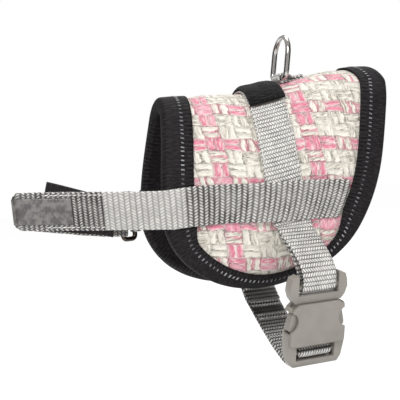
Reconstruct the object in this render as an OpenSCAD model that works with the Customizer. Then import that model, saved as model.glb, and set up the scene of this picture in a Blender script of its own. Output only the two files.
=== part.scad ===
// No pull harness for a small dog: a padded tweed saddle bound in grosgrain, with webbing
// girth and chest straps, a side release buckle, a lead ring and a grab handle.
// Frame: X along the spine (+X to the tail), Y across (-Y is the buckle side), Z up.
// Origin: underside of the saddle on its ridge, above the girth strap.

/* [Saddle section] */
// Radius of the ridge above the girth strap
ridge_r = 21; // [14:0.5:32]
// Change of the ridge radius for each millimetre towards the tail
ridge_r_k = 0.11; // [0:0.01:0.2]
// Slope of the panel below the ridge, in degrees from level, at its flattest
panel_slope = 58; // [45:1:75]
// How much steeper the panel gets towards both ends, in degrees
slope_gain = 12; // [0:1:20]
// Arc length from the ridge to where the panel hangs upright
side_s = 78; // [60:1:100]
// Arc length from the ridge to the start of the curled hem
hem_s = 96; // [80:1:115]
// Heading of the panel at the hem's end, in degrees from level
hem_turn = 155; // [110:1:165]
// Rise of the ridge towards the tail
ridge_rise = 10; // [0:0.5:20]

/* [Saddle outline] */
// Front edge from the origin, on the ridge
front_top = 55; // [40:1:80]
// Front edge from the origin, at the chest strap
front_side = 62; // [45:1:90]
// Rear edge from the origin, on the ridge
rear_top = 63.5; // [45:0.5:90]
// Rear edge from the origin, at its corner
rear_corner = 66; // [50:1:95]
// How far the rear edge comes forwards for each millimetre down from its corner
rear_taper = 0.26; // [0:0.01:0.5]
// Arc length from the ridge to the bottom of a panel
panel_drop = 118.3; // [100:0.5:140]

/* [Layers] */
// Thickness of the tweed face
tweed_t = 2; // [1:0.1:3]
// Thickness of the foam
foam_t = 2.9; // [1.5:0.1:6]
// Thickness of the lining
lining_t = 1.2; // [0.6:0.1:2]
// Thickness of the edge binding
binding_t = 1; // [0.6:0.1:1.6]
// Width of the binding on the face
binding_w = 15; // [8:0.5:20]

/* [Webbing] */
// Width of the webbing
webbing_w = 19; // [15:0.5:25]
// Thickness of the webbing
webbing_t = 1.3; // [0.8:0.1:2]

/* [Chest loop] */
// Distance from the origin forwards to the middle of the fold
fold_x = 127; // [105:1:150]
// Height of the fold's middle below the origin
fold_drop = 44.7; // [30:0.5:60]
// Inner radius of the fold
fold_r = 2.2; // [1.8:0.1:5]
// Length of the reflective tape on the near side
tape_l = 27; // [15:1:35]
// Width of the reflective tape
tape_w = 13; // [8:0.5:16]
// Length of the hook tape patch
patch_l = 44; // [25:1:46]

/* [Chest ring] */
// Distance from the origin forwards to the ring's rear bar
ring_x = 64.2; // [63.8:0.1:68]
// Distance between the ring's two bars
ring_l = 7.2; // [6.6:0.1:9]
// Diameter of the ring's wire
ring_wire = 2.6; // [2:0.1:2.8]

/* [Lead ring] */
// Diameter of the wire
lead_wire = 3; // [2:0.1:3.4]
// Width of the ring between wire centres
lead_w = 19.6; // [16:0.2:24]
// Height of the ring above its bar, to the wire's centre
lead_h = 22; // [16:0.5:30]
// Lean of the ring towards the tail, in degrees
lead_lean = 10; // [0:1:20]
// Width of the tab that holds the ring
tab_w = 11; // [8:0.5:13]

/* [Handle] */
// Width of the handle sleeve along the spine
handle_w = 21; // [16:0.5:23]
// Height of the sleeve
handle_h = 2.9; // [1.5:0.1:6]
// Arc length from the ridge to each end of the sleeve
handle_s = 23; // [16:0.5:30]

/* [Buckle] */
// Width of the buckle
buckle_w = 33.4; // [31:0.2:36]
// Length of the buckle
buckle_l = 45.5; // [44.6:0.1:48]
// Thickness of the socket
buckle_t = 8.6; // [8:0.1:10]
// Tilt of the buckle: its lower end leans in under the belly, in degrees
buckle_tilt = 14; // [8:1:20]
// Turn of the buckle about the upright, in degrees
buckle_yaw = 10; // [0:1:15]

/* [Hidden] */
$fn = 32;
e = 0.3;
DEG = 180 / PI;
saddle_t = tweed_t + foam_t + lining_t + 0.2;
rise_from = -20;
rise_to = 56;
slope_u = -8;
lobe_u = -3;
lobe_p = 1.87;
lobe_sf = panel_drop - 48.3;
lobe_sr = panel_drop - 60.3;
corner_s = 22;
rear_p = 2.6;
ww = webbing_w / 2;
wt = webbing_t;
h_face = e + 0.05;

// Small helpers
function ease(t) = let(c = min(1, max(0, t))) c * c * (3 - 2 * c);
function mix(a, b, t) = a + (b - a) * t;
function unit(v) = v / max(norm(v), 1e-9);
function bez(a, b, c, d, t) =
    pow(1 - t, 3) * a + 3 * pow(1 - t, 2) * t * b + 3 * (1 - t) * t * t * c + t * t * t * d;
function ramp(a, b, n) = [for (i = [0:n]) a + (b - a) * i / n];

// The saddle surface. A cross-section is a chain of arcs, given by its heading angle along
// the arc length s from the ridge; u runs along the spine and h is the height off the tweed.
function ridge_z(u) = saddle_t + ridge_rise * ease((u - rise_from) / (rise_to - rise_from));
function slope(u) = panel_slope + slope_gain * pow((u - slope_u) / 60, 2);
function arc_on(q, turn, len, t) =
    let(k = (turn - q[2]) / len, p = q[2] + k * t)
    abs(k) < 1e-4
        ? [q[0] + cos(p) * t, q[1] - sin(p) * t, p]
        : [q[0] + (sin(p) - sin(q[2])) * DEG / k, q[1] + (cos(p) - cos(q[2])) * DEG / k, p];
function section(u, a) =
    let(
        l1 = (ridge_r + ridge_r_k * u) * slope(u) / DEG,
        l2 = side_s - l1,
        l3 = hem_s - side_s,
        l4 = panel_drop + 2 - hem_s,
        q1 = arc_on([0, 0, 0], slope(u), l1, min(a, l1)),
        q2 = a > l1 ? arc_on(q1, 90, l2, min(a - l1, l2)) : q1,
        q3 = a > side_s ? arc_on(q2, 97, l3, min(a - side_s, l3)) : q2
    )
    a > hem_s ? arc_on(q3, hem_turn, l4, a - hem_s) : q3;
function surf(u, s, h) =
    let(q = section(u, abs(s)), g = s < 0 ? -1 : 1)
    [u, -g * (q[0] + h * sin(q[2])), ridge_z(u) + q[1] + h * cos(q[2])];

// Outline of the saddle, in u and s, moved inwards by d
function lobe(x, p) = pow(max(0, 1 - pow(min(1, x), p)), 1 / p);
function front_u(a, d) =
    a < lobe_sf
        ? -mix(front_top, front_side, ease(a / lobe_sf)) + d
        : lobe_u - (front_side + lobe_u - d) * lobe((a - lobe_sf) / (panel_drop - lobe_sf - d), lobe_p);
function rear_line(a) = rear_corner - rear_taper * (a - corner_s);
function rear_u(a, d) =
    a < corner_s
        ? mix(rear_top, rear_corner, sin(90 * a / corner_s)) - d
        : a < lobe_sr
            ? rear_line(a) - d
            : lobe_u + (rear_line(a) - lobe_u - d) * lobe((a - lobe_sr) / (panel_drop - lobe_sr - d), rear_p);
levels = concat(ramp(0, 24, 7), [30, 37, 45, 53, 61, 69, 77, 84], ramp(89.5, panel_drop - 6, 5));

// Solid between two grids of points that have the same size
module slab(top, bot) {
    n = len(top);
    m = len(top[0]);
    pts = concat([for (r = top) each r], [for (r = bot) each r]);
    o = n * m;
    faces = concat(
        [for (i = [0:n - 2]) for (j = [0:m - 2]) [i * m + j, (i + 1) * m + j, (i + 1) * m + j + 1]],
        [for (i = [0:n - 2]) for (j = [0:m - 2]) [i * m + j, (i + 1) * m + j + 1, i * m + j + 1]],
        [for (i = [0:n - 2]) for (j = [0:m - 2]) [o + i * m + j, o + (i + 1) * m + j + 1, o + (i + 1) * m + j]],
        [for (i = [0:n - 2]) for (j = [0:m - 2]) [o + i * m + j, o + i * m + j + 1, o + (i + 1) * m + j + 1]],
        [for (i = [0:n - 2]) [i * m, o + i * m, o + (i + 1) * m, (i + 1) * m]],
        [for (i = [0:n - 2]) [i * m + m - 1, (i + 1) * m + m - 1, o + (i + 1) * m + m - 1, o + i * m + m - 1]],
        [for (j = [0:m - 2]) [j, j + 1, o + j + 1, o + j]],
        [for (j = [0:m - 2]) [(n - 1) * m + j, o + (n - 1) * m + j, o + (n - 1) * m + j + 1, (n - 1) * m + j + 1]]
    );
    polyhedron(pts, faces, convexity = 10);
}

// Closed sweep: rows of closed profiles, the last row joins the first
module hoop(rows) {
    n = len(rows);
    m = len(rows[0]);
    pts = [for (r = rows) each r];
    faces = concat(
        [for (i = [0:n - 1]) for (j = [0:m - 1])
            [i * m + j, ((i + 1) % n) * m + j, ((i + 1) % n) * m + (j + 1) % m]],
        [for (i = [0:n - 1]) for (j = [0:m - 1])
            [i * m + j, ((i + 1) % n) * m + (j + 1) % m, i * m + (j + 1) % m]]
    );
    polyhedron(pts, faces, convexity = 10);
}

// One layer of the saddle, from height h0 up to h1
module layer(h0, h1, d) {
    last = panel_drop - d - 0.6;
    half = concat(levels, [last]);
    rows = concat([for (i = [len(half) - 1:-1:1]) -half[i]], half);
    function grid(h) = [for (s = rows)
        let(a = front_u(abs(s), d), b = rear_u(abs(s), d))
        [for (f = ramp(0, 1, 10)) surf(mix(a, b, f), s, h)]];
    slab(grid(h0), grid(h1));
}

module saddle_shell() {
    color([0.9, 0.82, 0.78]) layer(-tweed_t, 0, 1.8);
}

module saddle_padding() {
    color([0.25, 0.25, 0.26]) layer(-tweed_t - 0.1 - foam_t, -tweed_t - 0.1, 1.8);
}

module saddle_lining() {
    color([0.06, 0.06, 0.07]) layer(-saddle_t, -saddle_t + lining_t, 1.8);
}

// The outline as a closed run of stations in u and s, with the inward direction of each
edge_levels = concat(ramp(0, 24, 6), [32, 41, 50, 58]);
function side_run() = concat(
    [for (a = concat(edge_levels, [66])) [front_u(a, 0), a]],
    [for (g = [7.5:7.5:90])
        let(s = lobe_sf + (panel_drop - lobe_sf) * pow(sin(g), 2 / lobe_p))
        [lobe_u - (front_side + lobe_u) * pow(max(0, cos(g)), 2 / lobe_p), s]],
    [for (g = [82.5:-7.5:7.5])
        let(s = lobe_sr + (panel_drop - lobe_sr) * pow(sin(g), 2 / rear_p))
        [lobe_u + (rear_line(s) - lobe_u) * pow(cos(g), 2 / rear_p), s]],
    [for (i = [len(edge_levels) - 1:-1:0]) [rear_u(edge_levels[i], 0), edge_levels[i]]]
);
function full_run() =
    let(a = side_run(), n = len(a))
    concat(a, [for (i = [n - 2:-1:1]) [a[i][0], -a[i][1]]]);
run = full_run();
function inward(i) =
    let(n = len(run), t = unit(run[(i + 1) % n] - run[(i + n - 1) % n]))
    [t[1], -t[0]];
module along_edge(profile) {
    n = len(run);
    hoop([for (i = [0:n - 1])
        [for (p = profile)
            let(q = run[i] + inward(i) * p[0]) surf(q[0], q[1], p[1])]]);
}

module edge_binding() {
    b = binding_t;
    lo = -saddle_t - e;
    color([0.05, 0.05, 0.055]) along_edge([
        [binding_w, e + b], [10.5, e + b], [6, e + b], [1.6, e + b], [0.4, e + b - 0.5], [0, -0.8],
        [0, lo + 0.4], [0.4, lo - b + 0.5], [1.6, lo - b], [6.3, lo - b], [11, lo - b],
        [11, lo], [6.3, lo], [1.1, lo], [1.1, e], [6, e], [10.5, e], [binding_w, e]
    ]);
}

// Row of reflective thread that is woven into the face of the binding
module reflective_thread() {
    top = e + binding_t;
    color([0.75, 0.76, 0.78]) along_edge([
        [10, top + 0.3], [9, top + 0.3], [9, top + 0.1], [10, top + 0.1]
    ]);
}

// Straps. A row of a strap holds, for each column across it, a point and the normal there.
cols = ramp(-1, 1, 3);
function on_row(u, s, du, ds, hw) = [for (c = cols)
    let(p = surf(u + du * c * hw, s + ds * c * hw, 0), q = surf(u + du * c * hw, s + ds * c * hw, 1))
    [p, q - p]];
function free_row(p, w, n, hw) = [for (c = cols) [p + w * c * hw, n]];
module strap(rows, h0, h1) {
    slab(
        [for (r = rows) [for (c = r) c[0] + c[1] * h0]],
        [for (r = rows) [for (c = r) c[0] + c[1] * h1]]
    );
}
// Rows at changing heights: hs holds the height of each row's inner face
module strap_at(rows, hs, t) {
    slab(
        [for (i = [0:len(rows) - 1]) [for (c = rows[i]) c[0] + c[1] * hs[i]]],
        [for (i = [0:len(rows) - 1]) [for (c = rows[i]) c[0] + c[1] * (hs[i] + t)]]
    );
}

// The buckle's own frame: x across it, y inwards, z up from near the tops of its posts
bk_pos = [7.5, -46.5, -87.5];
module at_buckle() {
    translate(bk_pos) rotate([0, 0, buckle_yaw]) rotate([buckle_tilt, 0, 0]) children();
}
function bk(p) =
    let(
        a = buckle_tilt,
        g = buckle_yaw,
        y = p[1] * cos(a) - p[2] * sin(a),
        z = p[1] * sin(a) + p[2] * cos(a)
    )
    bk_pos + [p[0] * cos(g) - y * sin(g), p[0] * sin(g) + y * cos(g), z];
function bk_dir(p) = bk(p) - bk_pos;

// Girth strap: centre line on the saddle at arc length s
function girth_u(s) = -1 + 2.5 * ease((abs(s) - 56) / 30);
leave_s = 83;
bar_r = 1.6;
bar_z = -4.6;
wrap_h = bar_r + 0.2;
// Free run of the near strap, from the saddle to the front of the buckle's bar
near_a = surf(girth_u(leave_s), leave_s, 0);
near_b = bk([0, -wrap_h, bar_z + 3]);
wb_near = bk_dir([-1, 0, 0]);
function near_run(t) = bez(
    near_a, near_a + unit(near_a - surf(girth_u(leave_s - 4), leave_s - 4, 0)) * 8 + [1.5, -1.5, 0],
    near_b + bk_dir([0, 0, 11]), near_b, t);
function near_fly(t, hw) =
    let(w = unit(mix([-1, 0, 0], wb_near, t)))
    free_row(near_run(t), w, unit(cross(w, near_run(t + 0.01) - near_run(t - 0.01))), hw);
module girth_strap_near() {
    on = [for (s = concat(ramp(handle_s + 0.8, 58, 6), ramp(63, leave_s, 3)))
        on_row(girth_u(s), s, -1, 0, ww)];
    fly = [for (t = ramp(0.14, 0.94, 6)) near_fly(t, ww)];
    start = [free_row(near_b, wb_near, bk_dir([0, -1, 0]), ww)];
    wrap = [for (g = [0:22.5:180])
        free_row(bk([0, -wrap_h * cos(g), bar_z - wrap_h * sin(g)]), wb_near, bk_dir([0, -cos(g), -sin(g)]), ww)];
    color([0.72, 0.72, 0.72]) strap(concat(on, fly, start, wrap), h_face + wt, h_face);
}

// The end of the girth strap that comes back up behind the buckle's bar and is sewn down
module girth_strap_return() {
    ts = ramp(0.16, 0.94, 6);
    rows = concat(
        [for (t = ts) near_fly(t, ww)],
        [for (z = [3, 0.3]) free_row(bk([0, -wrap_h, bar_z + z]), wb_near, bk_dir([0, -1, 0]), ww)]
    );
    far_h = -2 * wrap_h - h_face;
    hs = concat([for (t = ts) mix(0.1, far_h, ease((t - 0.3) / 0.65))], [far_h, far_h]);
    color([0.66, 0.66, 0.66]) strap_at(rows, hs, -wt);
}

// Far half of the girth strap: down the far panel, then free to where the belly strap is sewn
far_a = surf(girth_u(leave_s), -leave_s, 0);
far_mid = [3.4, 36, -96];
far_b = [3.8, 22, -104.5];
function far_path(t) = bez(far_a, far_a + [0.5, 1.5, -10], far_mid, far_b, t);
function far_out(t) = unit(cross([1, 0, 0], far_path(t + 0.01) - far_path(t - 0.01)));
module girth_strap_far() {
    on = [for (s = concat(ramp(handle_s + 0.8, 58, 6), ramp(63, leave_s, 3)))
        on_row(girth_u(s), -s, 1, 0, ww)];
    fly = [for (t = ramp(0.14, 1, 8)) free_row(far_path(t), [1, 0, 0], far_out(t), ww)];
    color([0.72, 0.72, 0.72]) strap(concat(on, fly), h_face + wt, h_face);
}

// Lower end of the buckle
win_a = 35.4;
bar_m = 38.9;
bar_b = 42.5;
mid_r = 1.3;
turn_r = mid_r + 0.2;
leg_y = 2.9;
// Belly strap: sewn over the far strap's end, then under the belly to the lower bars. Its path
// is its outer face, and heights go inwards.
lap = h_face + 2 * wt + 0.15;
belly_a = far_b + far_out(1) * lap;
belly_b = bk([0, leg_y, -bar_b - 4.2]);
wb_far = bk_dir([1, 0, 0]);
function belly_path(t) = bez(
    belly_a, belly_a + unit(far_b - far_path(0.98)) * 13, belly_b + bk_dir([0, 4.5, -9]), belly_b, t);
function belly_row(t) =
    let(w = unit(mix([1, 0, 0], wb_far, t)))
    free_row(belly_path(t), w, unit(cross(w, belly_path(t + 0.01) - belly_path(t - 0.01))) * -1, ww);
lap_rows = [for (t = ramp(0.6, 0.96, 4))
    free_row(far_path(t) + far_out(t) * lap, [1, 0, 0], far_out(t) * -1, ww)];
module belly_strap() {
    inner = bk_dir([0, 1, 0]);
    up = [for (z = [-bar_b - 2.4, -bar_b + 0.2]) free_row(bk([0, leg_y, z]), wb_far, inner, ww)];
    turn = [for (g = [0:22.5:180])
        free_row(bk([0, -turn_r * sin(g), -bar_m - turn_r * cos(g)]), wb_far, bk_dir([0, -sin(g), -cos(g)]), ww)];
    rows = concat(lap_rows, [for (t = ramp(0.04, 1, 11)) belly_row(t)], up, turn);
    color([0.7, 0.7, 0.7]) strap(rows, 0, wt);
}

// Adjusting end of the belly strap, folded back over the middle bar onto its inner side
module belly_strap_return() {
    off = wt + 0.25;
    y = leg_y + off;
    z = -bar_m + turn_r;
    inner = bk_dir([0, 1, 0]);
    leg = [for (k = [-bar_b - 2.4, -bar_b + 1, z - 2.2]) free_row(bk([0, leg_y, k]), wb_far, inner, ww)];
    bend = [for (g = [0:30:90])
        free_row(bk([0, y - 1 + (1 - off) * cos(g), z - 1 + (1 - off) * sin(g)]), wb_far,
            bk_dir([0, cos(g), sin(g)]), ww)];
    last = [free_row(bk([0, 0.2, z - off]), wb_far, bk_dir([0, 0, 1]), ww)];
    rows = concat([for (t = ramp(0.45, 1, 6)) belly_row(t)], leg, bend, last);
    color([0.66, 0.66, 0.66]) strap(rows, off, off + wt);
}

// Chest strap on the near panel
function chest_s(u) = 68.8 + 0.145 * (u + 20) + 0.0016 * pow(u + 20, 2);
function bump(x, half, fall) = 1 - ease((abs(x) - half) / fall);
function chest_h(u) = h_face + (wt + 0.4) * bump(u - 1.3, ww + 5.6, 6) + (binding_t + 0.4) * ease((-u - 36) / 8);
function inner_rear(s) = rear_u(s, 0) - binding_w * 1.16 - 0.6;
front_row = -59;
function chest_on(g, from, n) = [for (f = ramp(0, 1, n))
    [for (c = cols)
        let(
            k = chest_s(from) + c * ww * 1.02,
            u = mix(mix(inner_rear(k), from, 0.02), front_row, f),
            s = chest_s(u) + c * ww * 1.02,
            p = surf(u, g * s, 0)
        )
        [p, surf(u, g * s, 1) - p]]];
function chest_hs(from, n) = [for (f = ramp(0, 1, n)) chest_h(mix(from, front_row, f))];
rear_from = 33;
// Free run from the front edge to the fold, on the near side: inner face
p_edge = surf(front_row, chest_s(front_row), chest_h(front_row));
w_edge = unit(surf(front_row, chest_s(front_row) + 4, 0) - surf(front_row, chest_s(front_row) - 4, 0));
fold_c = [-fold_x, 0, -fold_drop];
w_fold = unit([0.04, 0, -1]);
near_g = atan2(-p_edge[1] - 2, p_edge[0] + fold_x);
bar_a = [-ring_x - ring_l, 26.4, -54];
bar_c = [-ring_x, 29.4, -52];
far_g = atan2(bar_a[1] - 2, bar_a[0] + fold_x);
function fold_at(g) = [-sin(g), -cos(g), 0];
function near_path(t) = bez(
    p_edge, p_edge + [-16, 1.6, 0.6], fold_c + fold_r * fold_at(near_g) + 26 * [cos(near_g), -sin(near_g), -0.05],
    fold_c + fold_r * fold_at(near_g), t);
function near_rows(t0, t1, n, hw) = [for (t = ramp(t0, t1, n))
    let(
        p = near_path(t),
        q = near_path(t + 0.01),
        o = near_path(t - 0.01),
        w = unit(mix(w_edge, w_fold, ease(t)))
    )
    free_row(p, w, unit(cross(q - o, w)), hw)];
function fold_rows(hw, n) = [for (g = ramp(near_g, 180 - far_g, n))
    free_row(fold_c + fold_r * fold_at(g), w_fold, fold_at(g), hw)];
// Far side of the loop: inner face, from the fold to the ring's front bar
far_in = wt + 0.15;
bar_gap = ring_wire / 2 + 0.2;
far_end = bar_a + (bar_gap - far_in) * [-sin(far_g), cos(far_g), 0];
w_far = unit([-0.17, 0, -1]);
up_w = [0, 0, -1];
function far_run(t) = bez(
    fold_c + fold_r * fold_at(180 - far_g), fold_c + fold_r * fold_at(180 - far_g) + 18 * [cos(far_g), sin(far_g), -0.12],
    far_end - 18 * [cos(far_g), sin(far_g), -0.06], far_end, t);
function far_rows(t0, t1, n, hw) = [for (t = ramp(t0, t1, n))
    let(
        p = far_run(t),
        q = far_run(t + 0.01),
        o = far_run(t - 0.01),
        w = unit(mix(mix(w_fold, w_far, ease(t / 0.45)), up_w, ease((t - 0.5) / 0.45)))
    )
    free_row(p, w, unit(cross(q - o, w)), hw)];
module chest_strap_near() {
    n = 22;
    on = chest_on(1, rear_from, n);
    free = near_rows(0.1, 0.97, 8, ww);
    color([0.74, 0.74, 0.74]) strap_at(
        concat(on, free), concat(chest_hs(rear_from, n), [for (r = free) 0]), wt);
}

// Far strap: sewn over the near strap, round the fold and back to the ring
module chest_strap_far() {
    rows = concat(near_rows(0.5, 0.98, 5, ww), fold_rows(ww, 8), far_rows(0.04, 1, 9, ww));
    turn = [for (k = [20:20:180])
        let(g = k - far_g)
        free_row(bar_a + (bar_gap - far_in) * [sin(g), cos(g), 0], up_w, [sin(g), cos(g), 0], ww)];
    color([0.74, 0.74, 0.74]) strap(concat(rows, turn), far_in, far_in + wt);
}

module reflective_tape() {
    rows = concat(
        near_rows(1 - tape_l / 72, 0.98, 4, tape_w / 2), fold_rows(tape_w / 2, 8),
        far_rows(0.04, 0.2, 2, tape_w / 2));
    h = far_in + wt + 0.1;
    color([0.55, 0.55, 0.58]) strap(rows, h, h + 0.4);
}

module loop_tape() {
    color([0.1, 0.1, 0.1]) strap(far_rows(0.12, 0.84, 6, ww - 1), far_in - 0.95, far_in - 0.15);
}

// Inner side of the far run: the strap's end comes back round the ring, with a hook patch on it
patch_w = 20;
patch_t = 0.8;
tail_l = 6.5;
run_dir = unit(far_run(0.95) - far_run(0.35));
run_out = unit(cross(run_dir, w_far));
run_up = unit(cross(run_dir, run_out));
tail_out = unit(cross(run_dir, up_w));
tail_p = bar_a - tail_out * bar_gap;
hinge_p = tail_p - run_dir * tail_l + run_out * (0.2 + patch_t / 2);
patch_dir = unit(run_up * sin(8) - run_dir * cos(8) + run_out * 0.016);
patch_up = unit(run_up - patch_dir * (run_up * patch_dir));
patch_n = cross(patch_up, patch_dir);
module hook_tape() {
    function from(c) = 0.8 - c * patch_w / 2 * patch_up[0] / patch_dir[0];
    function grid(h) = [for (f = ramp(0, 1, 6)) [for (c = cols)
        hinge_p + patch_dir * mix(from(c), patch_l, f) + patch_up * c * patch_w / 2 + patch_n * h]];
    color([0.08, 0.08, 0.08]) slab(grid(patch_t / 2), grid(-patch_t / 2));
}

module chest_tail() {
    rows = [for (x = [0.3, 3, tail_l]) free_row(tail_p - run_dir * x, up_w, tail_out * -1, ww)];
    color([0.7, 0.7, 0.7]) strap(rows, 0, wt);
}

// Wire ring that joins the far strap to the anchor on the far panel
module chest_ring() {
    r = ring_wire / 2;
    h = ww + 1.1;
    mid = -53;
    d = bar_c - bar_a;
    color([0.55, 0.53, 0.5]) {
        for (p = [bar_a, bar_c]) {
            translate([p[0], p[1], mid]) cylinder(r = r, h = 2 * h + 3, center = true);
        }
        for (z = [mid - h - 1.5, mid + h + 1.5]) {
            translate([bar_a[0], bar_a[1], z]) rotate([0, 0, atan2(d[1], d[0])])
                translate([0, -r, -r]) cube([norm([d[0], d[1]]), 2 * r, 2 * r]);
            for (p = [bar_a, bar_c]) {
                translate([p[0], p[1], z]) cylinder(r = r, h = 2 * r, center = true);
            }
        }
    }
}

// Anchor strap on the far panel, and its end that is folded back round the ring's rear bar
anchor_r = ring_wire / 2 + 0.2;
module anchor_strap() {
    n = 22;
    on = chest_on(-1, rear_from, n);
    up = [for (x = [-61.5, -ring_x]) free_row([x, bar_c[1] - anchor_r, bar_c[2]], up_w, [0, 1, 0], ww)];
    turn = [for (g = [20:20:160])
        free_row(bar_c - anchor_r * [sin(g), cos(g), 0], up_w, [sin(g), cos(g), 0], ww)];
    hs = concat([for (h = chest_hs(rear_from, n)) h + wt], [for (r = concat(up, turn)) 0]);
    color([0.7, 0.7, 0.7]) strap_at(concat(on, up, turn), hs, -wt);
}

module anchor_return() {
    from = -47;
    n = 4;
    rows = [for (u = ramp(from, front_row, n)) [for (c = cols)
        let(s = chest_s(u) + c * ww, p = surf(u, -s, 0)) [p, surf(u, -s, 1) - p]]];
    hs = [for (u = ramp(from, front_row, n)) chest_h(u) + wt + 0.15 + 2.2 * ease((-50 - u) / 9)];
    last = [for (x = [-62, -ring_x]) free_row([x, bar_c[1] + anchor_r, bar_c[2]], up_w, [0, 1, 0], ww)];
    color([0.7, 0.7, 0.7]) strap_at(concat(rows, last), concat([for (h = hs) h + wt], [wt, wt]), -wt);
}

// Buckle
hw = buckle_w / 2;
collar = hw - 1.9;
throat = 12.6;
module plate(pts, t) {
    rotate([90, 0, 0]) linear_extrude(height = t, center = true) polygon(pts);
}
function both(pts) = concat(pts, [for (i = [len(pts) - 1:-1:0]) [-pts[i][0], pts[i][1]]]);

module buckle_male() {
    color([0.62, 0.6, 0.57]) at_buckle() {
        translate([0, 0, bar_z]) rotate([0, 90, 0]) cylinder(r = bar_r, h = 2 * (hw - 2), center = true);
        difference() {
            plate(both([
                [hw - 4, bar_r], [hw - 1.4, 0.6], [hw - 0.4, -2.5], [hw, -6],
                [hw - 1.2, -9.6], [hw - 3.4, -throat + 0.3], [hw - 3.6, -throat + 0.3]
            ]), 5);
            translate([0, 0, -3.2]) cube([webbing_w + 4.4, 8, 10.6], center = true);
        }
        translate([0, 0, -throat - 0.1]) cube([2 * collar - 5, 4, 1.6], center = true);
        translate([0, 0, -throat - 8]) cube([3, 3.6, 16], center = true);
    }
}

pivot_x = collar - 4;
pivot_z = -15.4;
module prong(g) {
    color([0.6, 0.58, 0.55]) at_buckle() mirror([g < 0 ? 1 : 0, 0, 0]) {
        translate([pivot_x, 0, pivot_z]) rotate([90, 0, 0]) cylinder(r = 1.6, h = 4.4, center = true);
        plate([
            [pivot_x - 1.5, pivot_z], [pivot_x + 1.5, pivot_z], [collar - 0.15, -18.4],
            [hw - 0.6, -24.4], [hw - 0.6, -26], [collar - 0.5, -27.4], [collar - 2.2, -31],
            [collar - 5.4, -31], [collar - 5.2, -24]
        ], 4.4);
    }
}

module buckle_prong_front() {
    prong(-1);
}

module buckle_prong_rear() {
    prong(1);
}

module buckle_female() {
    low = -buckle_l;
    color([0.62, 0.6, 0.57]) at_buckle() difference() {
        union() {
            plate(both([
                [hw - 3.4, -throat], [hw - 1.2, -14.6], [hw - 0.2, -17], [hw, -20],
                [hw, -35], [hw - 1.5, low + 3], [hw - 3.6, low]
            ]), 5.2);
            plate(both([
                [hw - 5, -throat], [hw - 2.4, -14.8], [hw - 1.2, -17.4], [hw - 1, -20],
                [hw - 1, -33.4], [hw - 1.6, -34.2]
            ]), buckle_t);
        }
        translate([0, 0, -(throat + 33) / 2 + 1]) cube([2 * collar, 5.2, 33 - throat + 2], center = true);
        translate([0, 0, -22.4]) cube([2 * hw + 2, 5.2, 10.8], center = true);
        for (g = [-1, 1]) {
            translate([g * (hw + 0.4), 0, -21.4]) rotate([90, 0, 0])
                cylinder(r = 5.4, h = buckle_t + 2, center = true);
        }
        translate([0, 0, -(win_a + bar_b) / 2]) cube([webbing_w + 3.4, 12, bar_b - win_a], center = true);
    }
    color([0.62, 0.6, 0.57]) at_buckle() translate([0, 0, -bar_m]) rotate([0, 90, 0])
        cylinder(r = mid_r, h = webbing_w + 5, center = true);
}

// Lead ring: a D of round wire whose straight bar lies across the spine
bar_u = 13.6;
tab_t = 1.1;
tab_r = lead_wire / 2 + 0.2;
lead_z = ridge_z(bar_u) + h_face + tab_t + tab_r;
module lead_ring() {
    r = lead_wire / 2;
    w = lead_w / 2;
    bend = 3;
    top = lead_h - w;
    color([0.8, 0.8, 0.82]) translate([bar_u, 0, lead_z]) rotate([0, lead_lean, 0]) {
        rotate([90, 0, 0]) cylinder(r = r, h = 2 * (w - bend), center = true);
        translate([0, 0, top]) rotate([90, 0, 90]) rotate_extrude(angle = 180) translate([w, 0]) circle(r = r);
        for (g = [0, 1]) {
            mirror([0, g, 0]) {
                translate([0, w, bend]) cylinder(r = r, h = top - bend);
                translate([0, w - bend, bend]) rotate([90, 0, 90]) rotate([0, 0, -90])
                    rotate_extrude(angle = 90) translate([bend, 0]) circle(r = r);
            }
        }
    }
}

// Tab: one layer on the saddle, round the ring's bar and back over itself
function tab_row(x, z, n, flat) = [for (c = cols)
    let(
        s = c * tab_w / 2,
        top = surf(bar_u + x, 0, 0)[2],
        sag = (1 - flat) * (top - surf(bar_u + x, s, 0)[2])
    )
    [[bar_u + x, s, lead_z + z + top - ridge_z(bar_u) - sag], n]];
module lead_ring_tab() {
    low = [for (x = [13, 10, 7, 4.5]) tab_row(x, -tab_r, [0, 0, -1], 0)];
    near = [for (x = [2]) tab_row(x, -tab_r, [0, 0, -1], 0.7)];
    turn = [for (g = [0:20:180]) tab_row(-tab_r * sin(g), -tab_r * cos(g), [-sin(g), 0, -cos(g)], 1)];
    high = [
        tab_row(2.4, tab_r * 0.6, unit([0.5, 0, 1]), 0.7),
        tab_row(4.8, -tab_r * 0.35, unit([0.4, 0, 1]), 0.4),
        tab_row(7, -tab_r + 0.2, [0, 0, 1], 0), tab_row(11.5, -tab_r + 0.2, [0, 0, 1], 0)
    ];
    color([0.7, 0.7, 0.7]) strap(concat(low, near, turn, high), 0, tab_t);
}

module handle_webbing() {
    rows = [for (s = ramp(-handle_s, handle_s, 14)) on_row(girth_u(0), s, -1, 0, ww)];
    color([0.3, 0.3, 0.3]) strap(rows, h_face + wt, h_face);
}

// Padded sleeve: a dome across the handle webbing
module handle_sleeve() {
    h0 = h_face + wt + 0.25;
    n = 14;
    us = ramp(-1, 1, 8);
    function rise(s, c) = 0.35 + handle_h * sqrt(max(0, 1 - pow(c, 4))) * (1 - pow(abs(s) / handle_s, 6) * 0.75);
    color([0.04, 0.04, 0.04]) slab(
        [for (s = ramp(-handle_s, handle_s, n)) [for (c = us)
            surf(girth_u(0) + c * handle_w / 2, s, h0)]],
        [for (s = ramp(-handle_s, handle_s, n)) [for (c = us)
            surf(girth_u(0) + c * handle_w / 2, s, h0 + rise(s, c))]]);
}

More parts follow.
